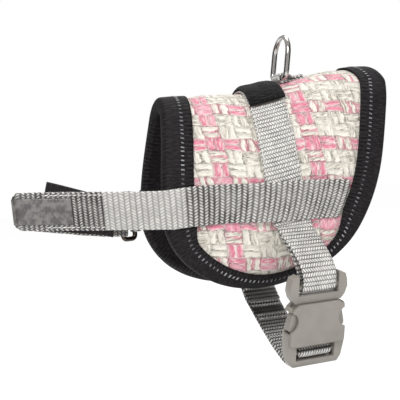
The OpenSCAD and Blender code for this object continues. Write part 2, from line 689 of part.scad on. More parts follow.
saddle_shell();
saddle_padding();
saddle_lining();
edge_binding();
reflective_thread();
girth_strap_near();
girth_strap_return();
girth_strap_far();
belly_strap();
belly_strap_return();
chest_strap_near();
chest_strap_far();
reflective_tape();
loop_tape();
hook_tape();
chest_tail();
chest_ring();
anchor_strap();
anchor_return();
buckle_male();
buckle_prong_front();
buckle_prong_rear();
buckle_female();
lead_ring();
lead_ring_tab();
handle_webbing();
handle_sleeve();
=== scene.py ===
"""Blender scene of a small dog's back-clip harness.

A padded tweed saddle bound in ribbed tape carries a webbing girth strap with a side release
buckle, a chest loop that closes through a wire ring, a lead ring on its tab and a fuzzy handle.
Lengths are in millimetres inside the classes and become metres when a mesh is written.
"""

import logging
import math
from dataclasses import dataclass, field
from enum import Enum
from typing import Callable, Optional, Sequence, Union

import bmesh
import bpy
import numpy as np
from mathutils import Matrix, Vector


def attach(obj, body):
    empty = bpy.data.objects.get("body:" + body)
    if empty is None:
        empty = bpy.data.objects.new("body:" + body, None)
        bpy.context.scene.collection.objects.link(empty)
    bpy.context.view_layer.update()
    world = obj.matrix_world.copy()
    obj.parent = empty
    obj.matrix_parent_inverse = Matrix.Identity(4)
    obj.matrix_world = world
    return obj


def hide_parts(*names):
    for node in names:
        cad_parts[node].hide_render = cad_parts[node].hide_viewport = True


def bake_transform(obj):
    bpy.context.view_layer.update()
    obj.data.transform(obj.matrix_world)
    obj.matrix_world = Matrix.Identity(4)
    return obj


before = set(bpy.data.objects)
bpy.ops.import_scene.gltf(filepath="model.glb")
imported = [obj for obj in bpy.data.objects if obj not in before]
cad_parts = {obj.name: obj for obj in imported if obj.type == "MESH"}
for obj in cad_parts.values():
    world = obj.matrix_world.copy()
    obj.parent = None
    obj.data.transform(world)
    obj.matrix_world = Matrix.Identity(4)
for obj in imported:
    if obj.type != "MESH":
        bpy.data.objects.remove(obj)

LOG = logging.getLogger("harness")
MM = 0.001
Array = np.ndarray
Colour = tuple[float, float, float]
Pieces = list[bpy.types.Object]
# Places across a strap, the number of its middle one, and the step of a path's direction.
ACROSS = np.linspace(-1, 1, 25)
MIDDLE = len(ACROSS) // 2
AHEAD = 0.01


class Body(str, Enum):
    """The rigid bodies of the CAD model."""

    HARNESS = "harness"
    LEAD_RING = "lead_ring"
    SOCKET = "socket"
    PRONG_FRONT = "prong_front"
    PRONG_REAR = "prong_rear"
    HOOK_PATCH = "hook_patch"


class Side(Enum):
    """The two panels of the saddle; the value is the sign of the arc length."""

    NEAR = 1
    FAR = -1


# ---------------------------------------------------------------- small maths


def ease(t: Array) -> Array:
    """Smooth step, 3c squared minus 2c cubed, with c clipped to 0..1."""
    c = np.clip(t, 0.0, 1.0)
    return c * c * (3 - 2 * c)


def unit(v: Array) -> Array:
    """Vectors of length one along the last axis."""
    v = np.asarray(v, float)
    return v / np.maximum(np.linalg.norm(v, axis=-1, keepdims=True), 1e-9)


def bezier(a: Array, b: Array, c: Array, d: Array, t: Array) -> Array:
    """Points of a cubic Bezier curve with end points a, d and handles b, c."""
    t = np.asarray(t, float)[..., None]
    return (1 - t) ** 3 * a + 3 * (1 - t) ** 2 * t * b + 3 * (1 - t) * t * t * c + t**3 * d


def blend(a: Array, b: Array, t: Array) -> Array:
    """Straight mix of a and b, for an array of factors."""
    return a + (b - a) * np.asarray(t, float)[..., None]


def column(*parts: object) -> Array:
    """Stacks numbers and arrays as the last axis of one array."""
    return np.stack(np.broadcast_arrays(*[np.asarray(p, float) for p in parts]), -1)


def degrees(start: float, end: float, count: int) -> Array:
    """Equal steps between two angles in degrees, as radians."""
    return np.radians(np.linspace(start, end, count))


def travel(path: Array) -> Array:
    """Distance along a path from its first point to each of its points."""
    return np.concatenate([[0], np.cumsum(np.linalg.norm(np.diff(path, axis=0), axis=1))])


def wobble(x: Array, y: Array, scale: float, seed: int) -> Array:
    """Smooth random height in -1..1: a mean of six sine waves of random direction.

    Args:
        x: First coordinate, in mm.
        y: Second coordinate, in mm.
        scale: Typical wavelength, in mm.
        seed: Seed of the directions and phases.

    Returns:
        An array of the shape of x and y together.
    """
    rng = np.random.default_rng(seed)
    angles, phases = rng.uniform(0, math.tau, 6), rng.uniform(0, math.tau, 6)
    out = np.zeros(np.broadcast(x, y).shape)
    for angle, phase, factor in zip(angles, phases, rng.uniform(0.7, 1.6, 6)):
        k = math.tau / (scale * factor)
        out = out + np.sin(k * (x * math.cos(angle) + y * math.sin(angle)) + phase)
    return out / 6


# ---------------------------------------------------------------- meshes


def add_object(name: str, data: object) -> bpy.types.Object:
    """A new object in the scene."""
    obj = bpy.data.objects.new(name, data)
    bpy.context.scene.collection.objects.link(obj)
    return obj


def write_mesh(
    name: str, points: Array, quads: Array, uvs: Optional[Array] = None
) -> bpy.types.Object:
    """Makes an object at the origin from arrays.

    Args:
        name: Name of the piece.
        points: Vertices, in mm, with shape (n, 3).
        quads: Vertex numbers of the faces, with shape (q, 4).
        uvs: UV of each vertex, in mm, with shape (n, 2).

    Returns:
        The object. Its faces point outwards: the winding is reversed where the signed volume,
        the sum of a . (b x c + c x d) over the faces, is negative.
    """
    a, b, c, d = (points[quads[:, k]] for k in range(4))
    if (a * (np.cross(b, c) + np.cross(c, d))).sum() < 0:
        quads = quads[:, ::-1]
    me = bpy.data.meshes.new(name)
    me.vertices.add(len(points))
    me.vertices.foreach_set("co", (points * MM).astype(np.float32).ravel())
    me.loops.add(quads.size)
    me.loops.foreach_set("vertex_index", quads.astype(np.int32).ravel())
    me.polygons.add(len(quads))
    me.polygons.foreach_set("loop_start", np.arange(len(quads), dtype=np.int32) * 4)
    me.polygons.foreach_set("use_smooth", np.ones(len(quads), bool))
    if uvs is not None:
        layer = me.uv_layers.new(name="Weave")
        layer.uv.foreach_set("vector", np.asarray(uvs, np.float32)[quads.ravel()].ravel())
    me.update(calc_edges=True)
    me.validate()
    return add_object(name, me)


def tube(name: str, rings: Array, uvs: Array, looped: bool = False) -> bpy.types.Object:
    """A closed solid from rings of points.

    Args:
        name: Name of the piece.
        rings: Points with shape (rows, cols, 3); the first half of a ring runs one way and the
            second half back under it.
        uvs: UVs with shape (rows, cols, 2).
        looped: Whether the last ring joins the first; or else both ends get flat caps.

    Returns:
        The piece.
    """
    rows, cols = rings.shape[:2]
    i = np.arange(rows if looped else rows - 1)[:, None]
    j = np.arange(cols)[None, :]
    k, m = (i + 1) % rows, (j + 1) % cols
    corners = [i * cols + j, k * cols + j, k * cols + m, i * cols + m]
    quads = np.stack(corners, -1).reshape(-1, 4)
    if not looped:
        s = np.arange(cols // 2 - 1)
        cap = np.stack([s, s + 1, cols - 2 - s, cols - 1 - s], -1)
        quads = np.vstack([quads, cap, cap[:, ::-1] + (rows - 1) * cols])
    return write_mesh(name, rings.reshape(-1, 3), quads, uvs.reshape(-1, 2))


def slab(name: str, top: Array, low: Array, uv: Array) -> bpy.types.Object:
    """A closed solid between two grids of points that share their UVs."""
    rings = np.concatenate([top, low[:, ::-1]], 1)
    return tube(name, rings, np.concatenate([uv, uv[:, ::-1]], 1))


def lozenges(name: str, centre: Array, along: Array, across: Array, up: Array) -> bpy.types.Object:
    """Many small raised pads, such as stitches, each a low pyramid with a cut-off top.

    Args:
        name: Name of the piece.
        centre: Middles of the pads, in mm, with shape (n, 3).
        along: Half length vectors, with shape (n, 3).
        across: Half width vectors, with shape (n, 3).
        up: Height vectors, with shape (n, 3).

    Returns:
        One object that holds all the pads.
    """
    corners = np.array([[-1, -1], [1, -1], [1, 1], [-1, 1]], float)
    x, y = along[:, None] * corners[:, :1], across[:, None] * corners[:, 1:]
    centre, up = centre[:, None], up[:, None]
    points = np.concatenate([centre + x + y - 0.6 * up, centre + up + 0.72 * x + 0.6 * y], 1)
    sides = [[k, (k + 1) % 4, (k + 1) % 4 + 4, k + 4] for k in range(4)]
    face = np.array([[0, 3, 2, 1], [4, 5, 6, 7], *sides])
    quads = (np.arange(len(centre))[:, None, None] * 8 + face[None]).reshape(-1, 4)
    uvs = np.tile(np.array([[0, 0], [2, 0], [2, 1], [0, 1]] * 2, float), (len(centre), 1))
    return write_mesh(name, points.reshape(-1, 3), quads, uvs)


def wire_loop(name: str, path: Array, radius: float, sides: int = 20) -> bpy.types.Object:
    """A closed loop of round wire.

    The ring at p is p + r (cos a . n + sin a . b), where n points away from the path's middle
    at right angles to its tangent and b is their cross product.

    Args:
        name: Name of the piece.
        path: Middle line, in mm, with shape (n, 3).
        radius: Radius of the wire.
        sides: Points in a ring.

    Returns:
        The wire.
    """
    tangent = unit(np.roll(path, -1, 0) - np.roll(path, 1, 0))
    side = path - path.mean(0)
    side = unit(side - tangent * (side * tangent).sum(-1, keepdims=True))
    a = np.linspace(0, math.tau, sides, endpoint=False)
    swing = side[:, None] * np.cos(a)[:, None]
    swing = swing + np.cross(tangent, side)[:, None] * np.sin(a)[:, None]
    uv = column(a[None] * radius, travel(path)[:, None])
    return tube(name, path[:, None] + radius * swing, uv, looped=True)


# ---------------------------------------------------------------- shader formulas


class Term:
    """A value in a shader graph, so that a formula reads as arithmetic."""

    def __init__(self, tree: bpy.types.NodeTree, source: object) -> None:
        """Keeps the graph and the socket or number."""
        self.tree = tree
        self.source = source

    def op(self, name: str, *others: object) -> "Term":
        """A Math node on this value and others.

        Args:
            name: Blender's name of the operation.
            others: Terms or numbers for the other inputs.

        Returns:
            The result.
        """
        node = self.tree.nodes.new("ShaderNodeMath")
        node.operation = name
        for value, target in zip((self, *others), node.inputs):
            source = value.source if isinstance(value, Term) else value
            if isinstance(source, (int, float)):
                target.default_value = float(source)
            else:
                self.tree.links.new(source, target)
        return Term(self.tree, node.outputs[0])

    def __add__(self, o: object) -> "Term":
        """Sum."""
        return self.op("ADD", o)

    def __sub__(self, o: object) -> "Term":
        """Difference."""
        return self.op("SUBTRACT", o)

    def __mul__(self, o: object) -> "Term":
        """Product."""
        return self.op("MULTIPLY", o)

    def __truediv__(self, o: object) -> "Term":
        """Quotient."""
        return self.op("DIVIDE", o)

    def __pow__(self, o: object) -> "Term":
        """Power."""
        return self.op("POWER", o)

    def rsub(self, o: float) -> "Term":
        """A number less this value."""
        return Term(self.tree, float(o)).op("SUBTRACT", self)

    def hump(self) -> "Term":
        """Absolute value of the sine of pi times this value: one hump per unit."""
        return (self * math.pi).op("SINE").op("ABSOLUTE")

    def modulo(self, count: float) -> "Term":
        """Remainder without its sign."""
        return self.op("MODULO", count).op("ABSOLUTE")

    def near(self, target: float) -> "Term":
        """1 where this whole number is the target, or else 0."""
        return self.op("COMPARE", target, 0.2)

    def ramp(self, low: float, high: float) -> "Term":
        """0 below low, 1 above high, smooth between."""
        node = self.tree.nodes.new("ShaderNodeMapRange")
        node.interpolation_type = "SMOOTHSTEP"
        node.inputs["From Min"].default_value = low
        node.inputs["From Max"].default_value = high
        self.tree.links.new(self.source, node.inputs["Value"])
        return Term(self.tree, node.outputs["Result"])


class Graph:
    """Helper that adds the common nodes to a material's or group's tree."""

    def __init__(self, tree: bpy.types.NodeTree) -> None:
        """Keeps the tree."""
        self.tree = tree

    def term(self, source: object) -> Term:
        """A socket or number as a Term."""
        return Term(self.tree, source)

    def link(self, source: object, target: bpy.types.NodeSocket) -> None:
        """Joins a Term or socket to an input."""
        self.tree.links.new(source.source if isinstance(source, Term) else source, target)

    def axes(self, vector: object) -> list[Term]:
        """The three coordinates of a vector."""
        node = self.tree.nodes.new("ShaderNodeSeparateXYZ")
        self.link(vector, node.inputs[0])
        return [self.term(out) for out in node.outputs]

    def mix(self, factor: Term, low: object, high: object) -> bpy.types.NodeSocket:
        """Colour mix.

        Args:
            factor: 0 for low, 1 for high.
            low: A colour or a colour socket.
            high: A colour or a colour socket.

        Returns:
            The colour socket.
        """
        node = self.tree.nodes.new("ShaderNodeMix")
        node.data_type = "RGBA"
        self.link(factor, node.inputs["Factor"])
        for value, key in ((low, 6), (high, 7)):
            if isinstance(value, tuple):
                node.inputs[key].default_value = (*value, 1.0)
            else:
                self.link(value, node.inputs[key])
        return node.outputs[2]

    def noise(self, vector: object, scale: float, detail: float = 2.0) -> Term:
        """Noise texture value on a vector socket."""
        node = self.tree.nodes.new("ShaderNodeTexNoise")
        node.inputs["Scale"].default_value = scale
        node.inputs["Detail"].default_value = detail
        self.link(vector, node.inputs["Vector"])
        return self.term(node.outputs["Fac"])

    def combine(self, x: Term, y: Term) -> bpy.types.NodeSocket:
        """Vector in the plane z = 0."""
        node = self.tree.nodes.new("ShaderNodeCombineXYZ")
        self.link(x, node.inputs[0])
        self.link(y, node.inputs[1])
        return node.outputs[0]

    def cell(self, x: Term, y: Term) -> Term:
        """Random value of a cell that is given by two whole numbers."""
        node = self.tree.nodes.new("ShaderNodeTexWhiteNoise")
        node.noise_dimensions = "2D"
        self.link(self.combine(x, y), node.inputs["Vector"])
        return self.term(node.outputs["Value"])

    def use(self, group: bpy.types.NodeTree, **values: object) -> dict[str, Term]:
        """Places a node group.

        Args:
            group: The group.
            values: Numbers or sockets for its inputs; _ stands for a space.

        Returns:
            Its outputs by name.
        """
        node = self.tree.nodes.new("ShaderNodeGroup")
        node.node_tree = group
        for key, value in values.items():
            socket = node.inputs[key.replace("_", " ")]
            if isinstance(value, float):
                socket.default_value = value
            else:
                self.link(value, socket)
        return {out.name: self.term(out) for out in node.outputs}


def new_group(
    name: str,
    inputs: dict[str, Optional[float]],
    outputs: Sequence[str],
    build: Callable[[Graph, dict[str, Term]], Sequence[Term]],
) -> bpy.types.NodeTree:
    """Makes a shader node group once.

    Args:
        name: Name of the group.
        inputs: Default of each value input, or None for a vector input.
        outputs: Names of the value outputs.
        build: Function from the graph and the inputs by name to a Term for each output.

    Returns:
        The group.
    """
    found = bpy.data.node_groups.get(name)
    if found:
        return found
    tree = bpy.data.node_groups.new(name, "ShaderNodeTree")
    for label, default in inputs.items():
        kind = "NodeSocketVector" if default is None else "NodeSocketFloat"
        socket = tree.interface.new_socket(name=label, in_out="INPUT", socket_type=kind)
        if default is not None:
            socket.default_value = default
    for label in outputs:
        tree.interface.new_socket(name=label, in_out="OUTPUT", socket_type="NodeSocketFloat")
    g = Graph(tree)
    source, out = tree.nodes.new("NodeGroupInput"), tree.nodes.new("NodeGroupOutput")
    results = build(g, {label: g.term(source.outputs[label]) for label in inputs})
    for label, result in zip(outputs, results):
        g.link(result, out.inputs[label])
    return tree


def grain_rows() -> bpy.types.NodeTree:
    """Group for webbing and tape: rows of rounded grains across the strap.

    Height is the product of two humps, |sin(pi x / grain)| and |sin(pi y / row)|, each to a
    power. Every second row is shifted by a share of a grain, and the grains of neighbouring rows
    lean opposite ways, as in a herringbone.
    """

    def build(g: Graph, v: dict[str, Term]) -> tuple[Term, Term]:
        """Height and random value of each grain."""
        across, along, _ = g.axes(v["Cloth"])
        along = along / v["Row"]
        row = along.op("FLOOR")
        odd = row.modulo(2.0)
        lean = (along.op("FRACT") - 0.5) * v["Lean"] * (odd * 2.0 - 1.0)
        across = across / v["Grain"] + odd * v["Stagger"] + lean
        height = (across.hump() ** 0.85) * (along.hump() ** v["Row Power"])
        return height, g.cell(across.op("FLOOR"), row)

    inputs = {"Cloth": None, "Grain": 1.5, "Row": 2.6, "Stagger": 0.5, "Lean": 0.0}
    return new_group("Grain rows", {**inputs, "Row Power": 0.55}, ("Height", "Random"), build)


def fibres() -> bpy.types.NodeTree:
    """Group for every cloth: fine noise, streaks along the first coordinate, and broad patches."""

    def build(g: Graph, v: dict[str, Term]) -> tuple[Term, Term, Term]:
        """Fine noise, streaks and broad patches."""
        x, y, _ = g.axes(v["Cloth"])
        flat = g.combine(x, y)
        streak = g.noise(g.combine(x * 0.25, y), 1.15)
        return g.noise(flat, 2.4, 3.0), streak, g.noise(flat, 0.09)

    return new_group("Fibres", {"Cloth": None}, ("Fine", "Streak", "Broad"), build)


def scuffs() -> bpy.types.NodeTree:
    """Group for metal and plastic: soft smudges and fine grain."""

    def build(g: Graph, v: dict[str, Term]) -> tuple[Term, Term]:
        """Smudges and grain."""
        return g.noise(v["Place"], 90.0, 3.0), g.noise(v["Place"], 2600.0)

    return new_group("Scuffs", {"Place": None}, ("Smudge", "Grain"), build)


# ---------------------------------------------------------------- finishes


def shade(colour: Colour, factor: float) -> Colour:
    """A colour times a number."""
    return tuple(factor * v for v in colour)


@dataclass
class Shell:
    """A material under construction: its graph, Principled shader and coordinates."""

    material: bpy.types.Material
    graph: Graph
    shader: bpy.types.Node
    cloth: bpy.types.NodeSocket
    place: bpy.types.NodeSocket

    def finish(self, colour: object, height: Term, depth: float) -> bpy.types.Material:
        """Links the colour, and a height of about 0..1 as a bump.

        Args:
            colour: The colour socket.
            height: Height of the relief.
            depth: Its depth, in metres.

        Returns:
            The material.
        """
        bump = self.graph.tree.nodes.new("ShaderNodeBump")
        bump.inputs["Strength"].default_value = 1.0
        bump.inputs["Distance"].default_value = depth
        self.graph.link(colour, self.shader.inputs["Base Color"])
        self.graph.link(height, bump.inputs["Height"])
        self.graph.link(bump.outputs[0], self.shader.inputs["Normal"])
        return self.material


def start_material(name: str, **constants: object) -> Shell:
    """A new material with a Principled shader.

    Args:
        name: Name of the material.
        constants: Values set on the shader's own sockets; _ stands for a space.

    Returns:
        The material's parts.
    """
    mat = bpy.data.materials.new(name)
    mat.use_nodes = True
    tree = mat.node_tree
    shader = tree.nodes["Principled BSDF"]
    for key, value in constants.items():
        socket = shader.inputs[key.replace("_", " ")]
        socket.default_value = (*value, 1.0) if isinstance(value, tuple) else value
    uv = tree.nodes.new("ShaderNodeUVMap")
    uv.uv_map = "Weave"
    coords = tree.nodes.new("ShaderNodeTexCoord")
    return Shell(mat, Graph(tree), shader, uv.outputs[0], coords.outputs["Object"])


@dataclass(frozen=True)
class Webbing:
    """Coarse woven strap: grains in rows, dark gaps partly painted shade, deepest over a span of x.

    Attributes:
        name: Name of the material.
        light: Colour of the grains.
        gap: Colour of the deepest gaps, partly dark under-thread and partly painted shade.
        grain: Pitch of the grains across the strap, in mm.
        row: Pitch of the rows along it, in mm.
        contrast: Depth of the painted shade in the gaps, 0 to 1.
        shaded_span: Range of x, in metres, of painted shade: deepest gaps and darker grains.
        lean: How far a grain leans along the strap, in grains.
        depth: Height of the relief, in metres.
        rib: Power of the rows' humps; more means wider gaps between the rows.
        lit: Range of z, in metres, over which painted light brightens the grains, downwards.
        bright: Colour of the painted highlight on the edges, and of the painted light at the lower
            end of that range.
        edge_highlight: Distances from the middle, in mm, between which the painted highlight on the
            edges comes and goes.
    """

    name: str
    light: Colour
    gap: Colour
    grain: float
    row: float
    contrast: float
    shaded_span: Optional[tuple[float, float]] = None
    lean: float = 0.9
    depth: float = 0.00045
    rib: float = 1.0
    lit: Optional[tuple[float, float]] = None
    bright: Colour = (0.75, 0.73, 0.70)
    edge_highlight: tuple[float, ...] = (8.5, 9.1, 10.6, 11.2)

    def make(self) -> bpy.types.Material:
        """The material."""
        m = start_material(self.name, Roughness=0.42, Specular_IOR_Level=0.6)
        g = m.graph
        pattern = dict(Grain=self.grain, Row=self.row, Lean=self.lean, Row_Power=self.rib)
        rows = g.use(grain_rows(), Cloth=m.cloth, **pattern)
        fuzz = g.use(fibres(), Cloth=m.cloth)
        x, _, z = g.axes(m.place)
        light, dim, deep = self.light, shade(self.light, 0.7), g.term(self.contrast)
        # Painted shade over a range of x: the gaps get deeper there.
        if self.shaded_span:
            start, end = self.shaded_span
            shaded_zone = x.ramp(start - 0.003, start + 0.001) - x.ramp(end - 0.008, end + 0.008) * 0.2
            deep = deep + shaded_zone * (1 - self.contrast)
        deep = deep * (fuzz["Broad"].ramp(0.35, 0.65) * 0.35 + 0.75)
        # Painted light: the grains brighten towards the lower end of the strap.
        if self.lit:
            share = z.ramp(self.lit[1], self.lit[0])
            light = g.mix(share, light, self.bright)
            dim = g.mix(share, dim, shade(self.bright, 0.7))
        tone = g.mix(rows["Random"] * 0.8, light, dim)
        tone = g.mix(fuzz["Fine"].ramp(0.4, 0.8) * 0.25, tone, self.gap)
        # Painted shade over the same range: the grains darken too.
        if self.shaded_span:
            tone = g.mix(shaded_zone * 0.12, tone, shade(self.light, 0.4))
        # Painted highlight along both edges, where the strap's thickness catches the light.
        side = g.axes(m.cloth)[0].op("ABSOLUTE")
        edge_glint = side.ramp(*self.edge_highlight[:2]) * side.ramp(*self.edge_highlight[2:]).rsub(1.0)
        tone = g.mix(edge_glint * 0.8, tone, self.bright)
        # Gaps between the grains: partly dark under-thread, partly painted shade.
        valley = g.mix(deep, shade(self.light, 0.5), self.gap)
        cut = (rows["Height"] + deep.rsub(1.0) * 0.2).ramp(0.18, 0.78)
        return m.finish(g.mix(cut, valley, tone), rows["Height"] + fuzz["Fine"] * 0.2, self.depth)


@dataclass(frozen=True)
class Tweed:
    """Chunky basket weave of paired yarns in cream, with a pink and taupe check.

    A block shows either two weft yarns or two warp yarns, as on a chess board. Every third row
    of blocks has pink weft and every sixth column pink warp.

    Attributes:
        block_u: Length of a block along the spine, in mm.
        block_s: Length of a block round the body, in mm.
    """

    cream: Colour
    shade: Colour
    pink: Colour
    pale: Colour
    rose: Colour
    taupe: Colour
    pit: Colour
    block_u: float = 8.17
    block_s: float = 6.733

    def yarns(
        self, g: Graph, streak: Term, run: Term, lone: Term, dark: Term, pinked: Term
    ) -> bpy.types.NodeSocket:
        """Colour of one system of yarns.

        Args:
            g: The graph.
            streak: Fibre streaks along the yarns.
            run: Block coordinate along them.
            lone: Random value of each yarn.
            dark: 1 where the yarns are taupe.
            pinked: 1 where they are pink.

        Returns:
            The colour socket.
        """
        turn = lone.ramp(0.35, 0.95) * 0.6
        tone = g.mix(turn, self.cream, self.shade)
        slub = streak.ramp(0.38, 0.54).rsub(1.0) * (dark * 0.75 + lone.ramp(0.7, 0.8) * 0.5)
        tone = g.mix(slub + dark * 0.12, tone, self.taupe)
        end = (run.op("FRACT").hump() ** 0.8).rsub(1.0)
        pinks = g.mix(end * 0.75, g.mix(turn, self.pink, self.pale), self.rose)
        return g.mix(pinked, tone, pinks)

    def make(self) -> bpy.types.Material:
        """The material."""
        m = start_material("Tweed", Roughness=0.9, Sheen_Weight=0.2, Sheen_Roughness=0.5)
        g = m.graph
        u, s, _ = g.axes(m.cloth)
        turned = g.combine(s, u)
        across, upright = (g.use(fibres(), Cloth=v) for v in (g.combine(u, s), turned))
        streak_h, streak_v = across["Streak"], upright["Streak"]
        fray = across["Fine"] - 0.5
        drift = g.noise(m.cloth, 0.16) - 0.5
        sway = g.noise(turned, 0.21) - 0.5
        back = u + 30.0
        lean = back * 0.17 + back * back * 0.0012
        ss = (s - lean - 16.9) + drift * 2.6 + fray * 1.8
        us = (u + (s * -1.0 + 94.0) * 0.077 + 28.2) + sway * 3.0 + fray * 1.8
        bx, by = us / self.block_u + 0.5, ss / self.block_s + 0.5
        i, j = bx.op("FLOOR"), by.op("FLOOR")
        fx, fy = bx.op("FRACT"), by.op("FRACT")
        odd = (i + j).modulo(2.0)
        even = odd.rsub(1.0)
        weft_row, warp_col = j.modulo(3.0), i.modulo(6.0)
        weft_h = ((fy * 2.0).hump() ** 0.8) * (fx.hump() ** 0.25)
        warp_h = ((fx * 2.0).hump() ** 0.8) * (fy.hump() ** 0.25)
        weft_id = g.cell((by * 2.0).op("FLOOR"), i)
        warp_id = g.cell((bx * 2.0).op("FLOOR"), j + 40.0)
        pink_h, pink_v = weft_row.near(0.0), warp_col.near(0.0)
        weft = self.yarns(g, streak_h, bx, weft_id, weft_row.near(1.0), pink_h)
        warp = self.yarns(g, streak_v, by, warp_id, warp_col.near(3.0), pink_v)
        top_h = weft_h * even + warp_h * odd
        low_h = warp_h * even + weft_h * odd
        top, low = g.mix(odd, weft, warp), g.mix(odd, warp, weft)
        streak = streak_h * even + streak_v * odd
        pinked = pink_h * even + pink_v * odd
        plain = pinked.rsub(1.0)
        low = g.mix(pinked * 0.6, low, self.pale)
        # Lower yarns of plain blocks tinted a fifth of the way to taupe: painted shade under the
        # top yarns.
        low = g.mix(plain * 0.2, low, self.taupe)
        hole = top_h.ramp(0.25, 0.55).rsub(1.0) * drift.ramp(-0.03, 0.06) * fray.ramp(-0.08, 0.06)
        low = g.mix(hole * 0.9, low, self.pit)
        edge = (top_h + fray * 1.1 + (streak - 0.5) * 0.9).ramp(0.42, 0.68)
        tone = g.mix(edge, low, top)
        tone = g.mix(streak.ramp(0.52, 0.66) * 0.55, tone, self.cream)
        dull = streak.ramp(0.36, 0.47).rsub(1.0) * fray.ramp(-0.2, 0.1)
        tone = g.mix(dull * plain * 0.5, tone, self.taupe)
        tone = g.mix(dull * pinked * 0.6, tone, self.rose)
        return m.finish(tone, top_h * 0.5 + low_h * 0.15 + streak * 1.3 + fray * 0.9, 0.0008)


@dataclass(frozen=True)
class Tape:
    """Plain tape, mesh or pile: fine rows, or noise alone where rows is 0.

    Attributes:
        name: Name of the material.
        colour: Colour of the hollows: partly painted shade, darker than the tops.
        light: Colour of the tops and fibre streaks: partly painted highlight on the rows.
        grain: Pitch across the strap, in mm.
        row: Pitch along it, in mm.
        depth: Height of the relief, in metres.
        roughness: Roughness of the surface.
        sheen: Weight of the sheen.
        rows: Share of the rows in the relief.
        fuzz: Share of the fibres in it.
        shine: Level of the gloss.
    """

    name: str
    colour: Colour
    light: Colour
    grain: float
    row: float
    depth: float
    roughness: float = 0.7
    sheen: float = 0.1
    rows: float = 1.0
    fuzz: float = 1.0
    shine: float = 0.12

    def make(self) -> bpy.types.Material:
        """The material."""
        gloss = dict(Roughness=self.roughness, Specular_IOR_Level=self.shine)
        m = start_material(self.name, Sheen_Weight=self.sheen, Sheen_Roughness=0.35, **gloss)
        g = m.graph
        rows = g.use(grain_rows(), Cloth=m.cloth, Grain=self.grain, Row=self.row)
        fuzz = g.use(fibres(), Cloth=m.cloth)
        fine, streak = fuzz["Fine"], fuzz["Streak"]
        height = rows["Height"] * self.rows
        # Tops of the rows lighter than the hollows: painted highlight and painted shade; the
        # streaks add fibre tone.
        tone = g.mix(height * 0.5 + streak.ramp(0.4, 0.7) * 0.5, self.colour, self.light)
        return m.finish(tone, height + (fine + streak) * self.fuzz, self.depth)


@dataclass(frozen=True)
class Sparkle:
    """Reflective film or thread: brighter and duller patches, painted glints; on sewing thread,
    random tone.
    """

    name: str
    dull: Colour
    bright: Colour
    patch: float
    roughness: float = 0.35

    def make(self) -> bpy.types.Material:
        """The material."""
        m = start_material(self.name, Roughness=self.roughness)
        g = m.graph
        cloud = g.noise(m.place, self.patch)
        streak = g.use(fibres(), Cloth=m.cloth)["Streak"]
        # Brighter and duller patches and bright streaks: painted glints on reflective stock, random
        # tone on sewing thread.
        tone = g.mix(cloud.ramp(0.36, 0.64), self.dull, self.bright)
        tone = g.mix(streak.ramp(0.45, 0.75) * 0.35, tone, self.bright)
        return m.finish(tone, streak + cloud, 0.0001)


@dataclass(frozen=True)
class Solid:
    """Moulded plastic or plated wire."""

    name: str
    colour: Colour
    dark: Colour
    roughness: float
    metallic: float = 0.0
    grain: float = 0.00002

    def make(self) -> bpy.types.Material:
        """The material."""
        m = start_material(self.name, Metallic=self.metallic)
        g = m.graph
        marks = g.use(scuffs(), Place=m.place)
        smudge = marks["Smudge"]
        g.link(smudge * 0.16 + (self.roughness - 0.08), m.shader.inputs["Roughness"])
        tone = g.mix(smudge.ramp(0.35, 0.75), self.colour, self.dark)
        return m.finish(tone, marks["Grain"], self.grain)


Finish = Union[Webbing, Tweed, Tape, Sparkle, Solid]


@dataclass
class Finishes:
    """All materials of the harness, with the record's slot for each."""

    made: dict[str, tuple[str, bpy.types.Material]] = field(default_factory=dict)

    def add(self, key: str, slot: str, finish: Finish) -> None:
        """Makes a finish and files it under a key, with its slot."""
        self.made[key] = slot, finish.make()

    def dress(
        self,
        obj: bpy.types.Object,
        key: str,
        node: Optional[str] = None,
        body: Optional[Body] = Body.HARNESS,
    ) -> bpy.types.Object:
        """Gives a piece its material and body, and hides the CAD node that it stands for.

        Args:
            obj: The piece.
            key: Key of its finish.
            node: Name of the CAD node, if it stands for one.
            body: Body that it rides on, or None to leave it unattached.

        Returns:
            The piece.
        """
        slot, material = self.made[key]
        obj.data.materials.clear()
        obj.data.materials.append(material)
        if node:
            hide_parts(node)
        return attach(obj, body.value) if body else obj


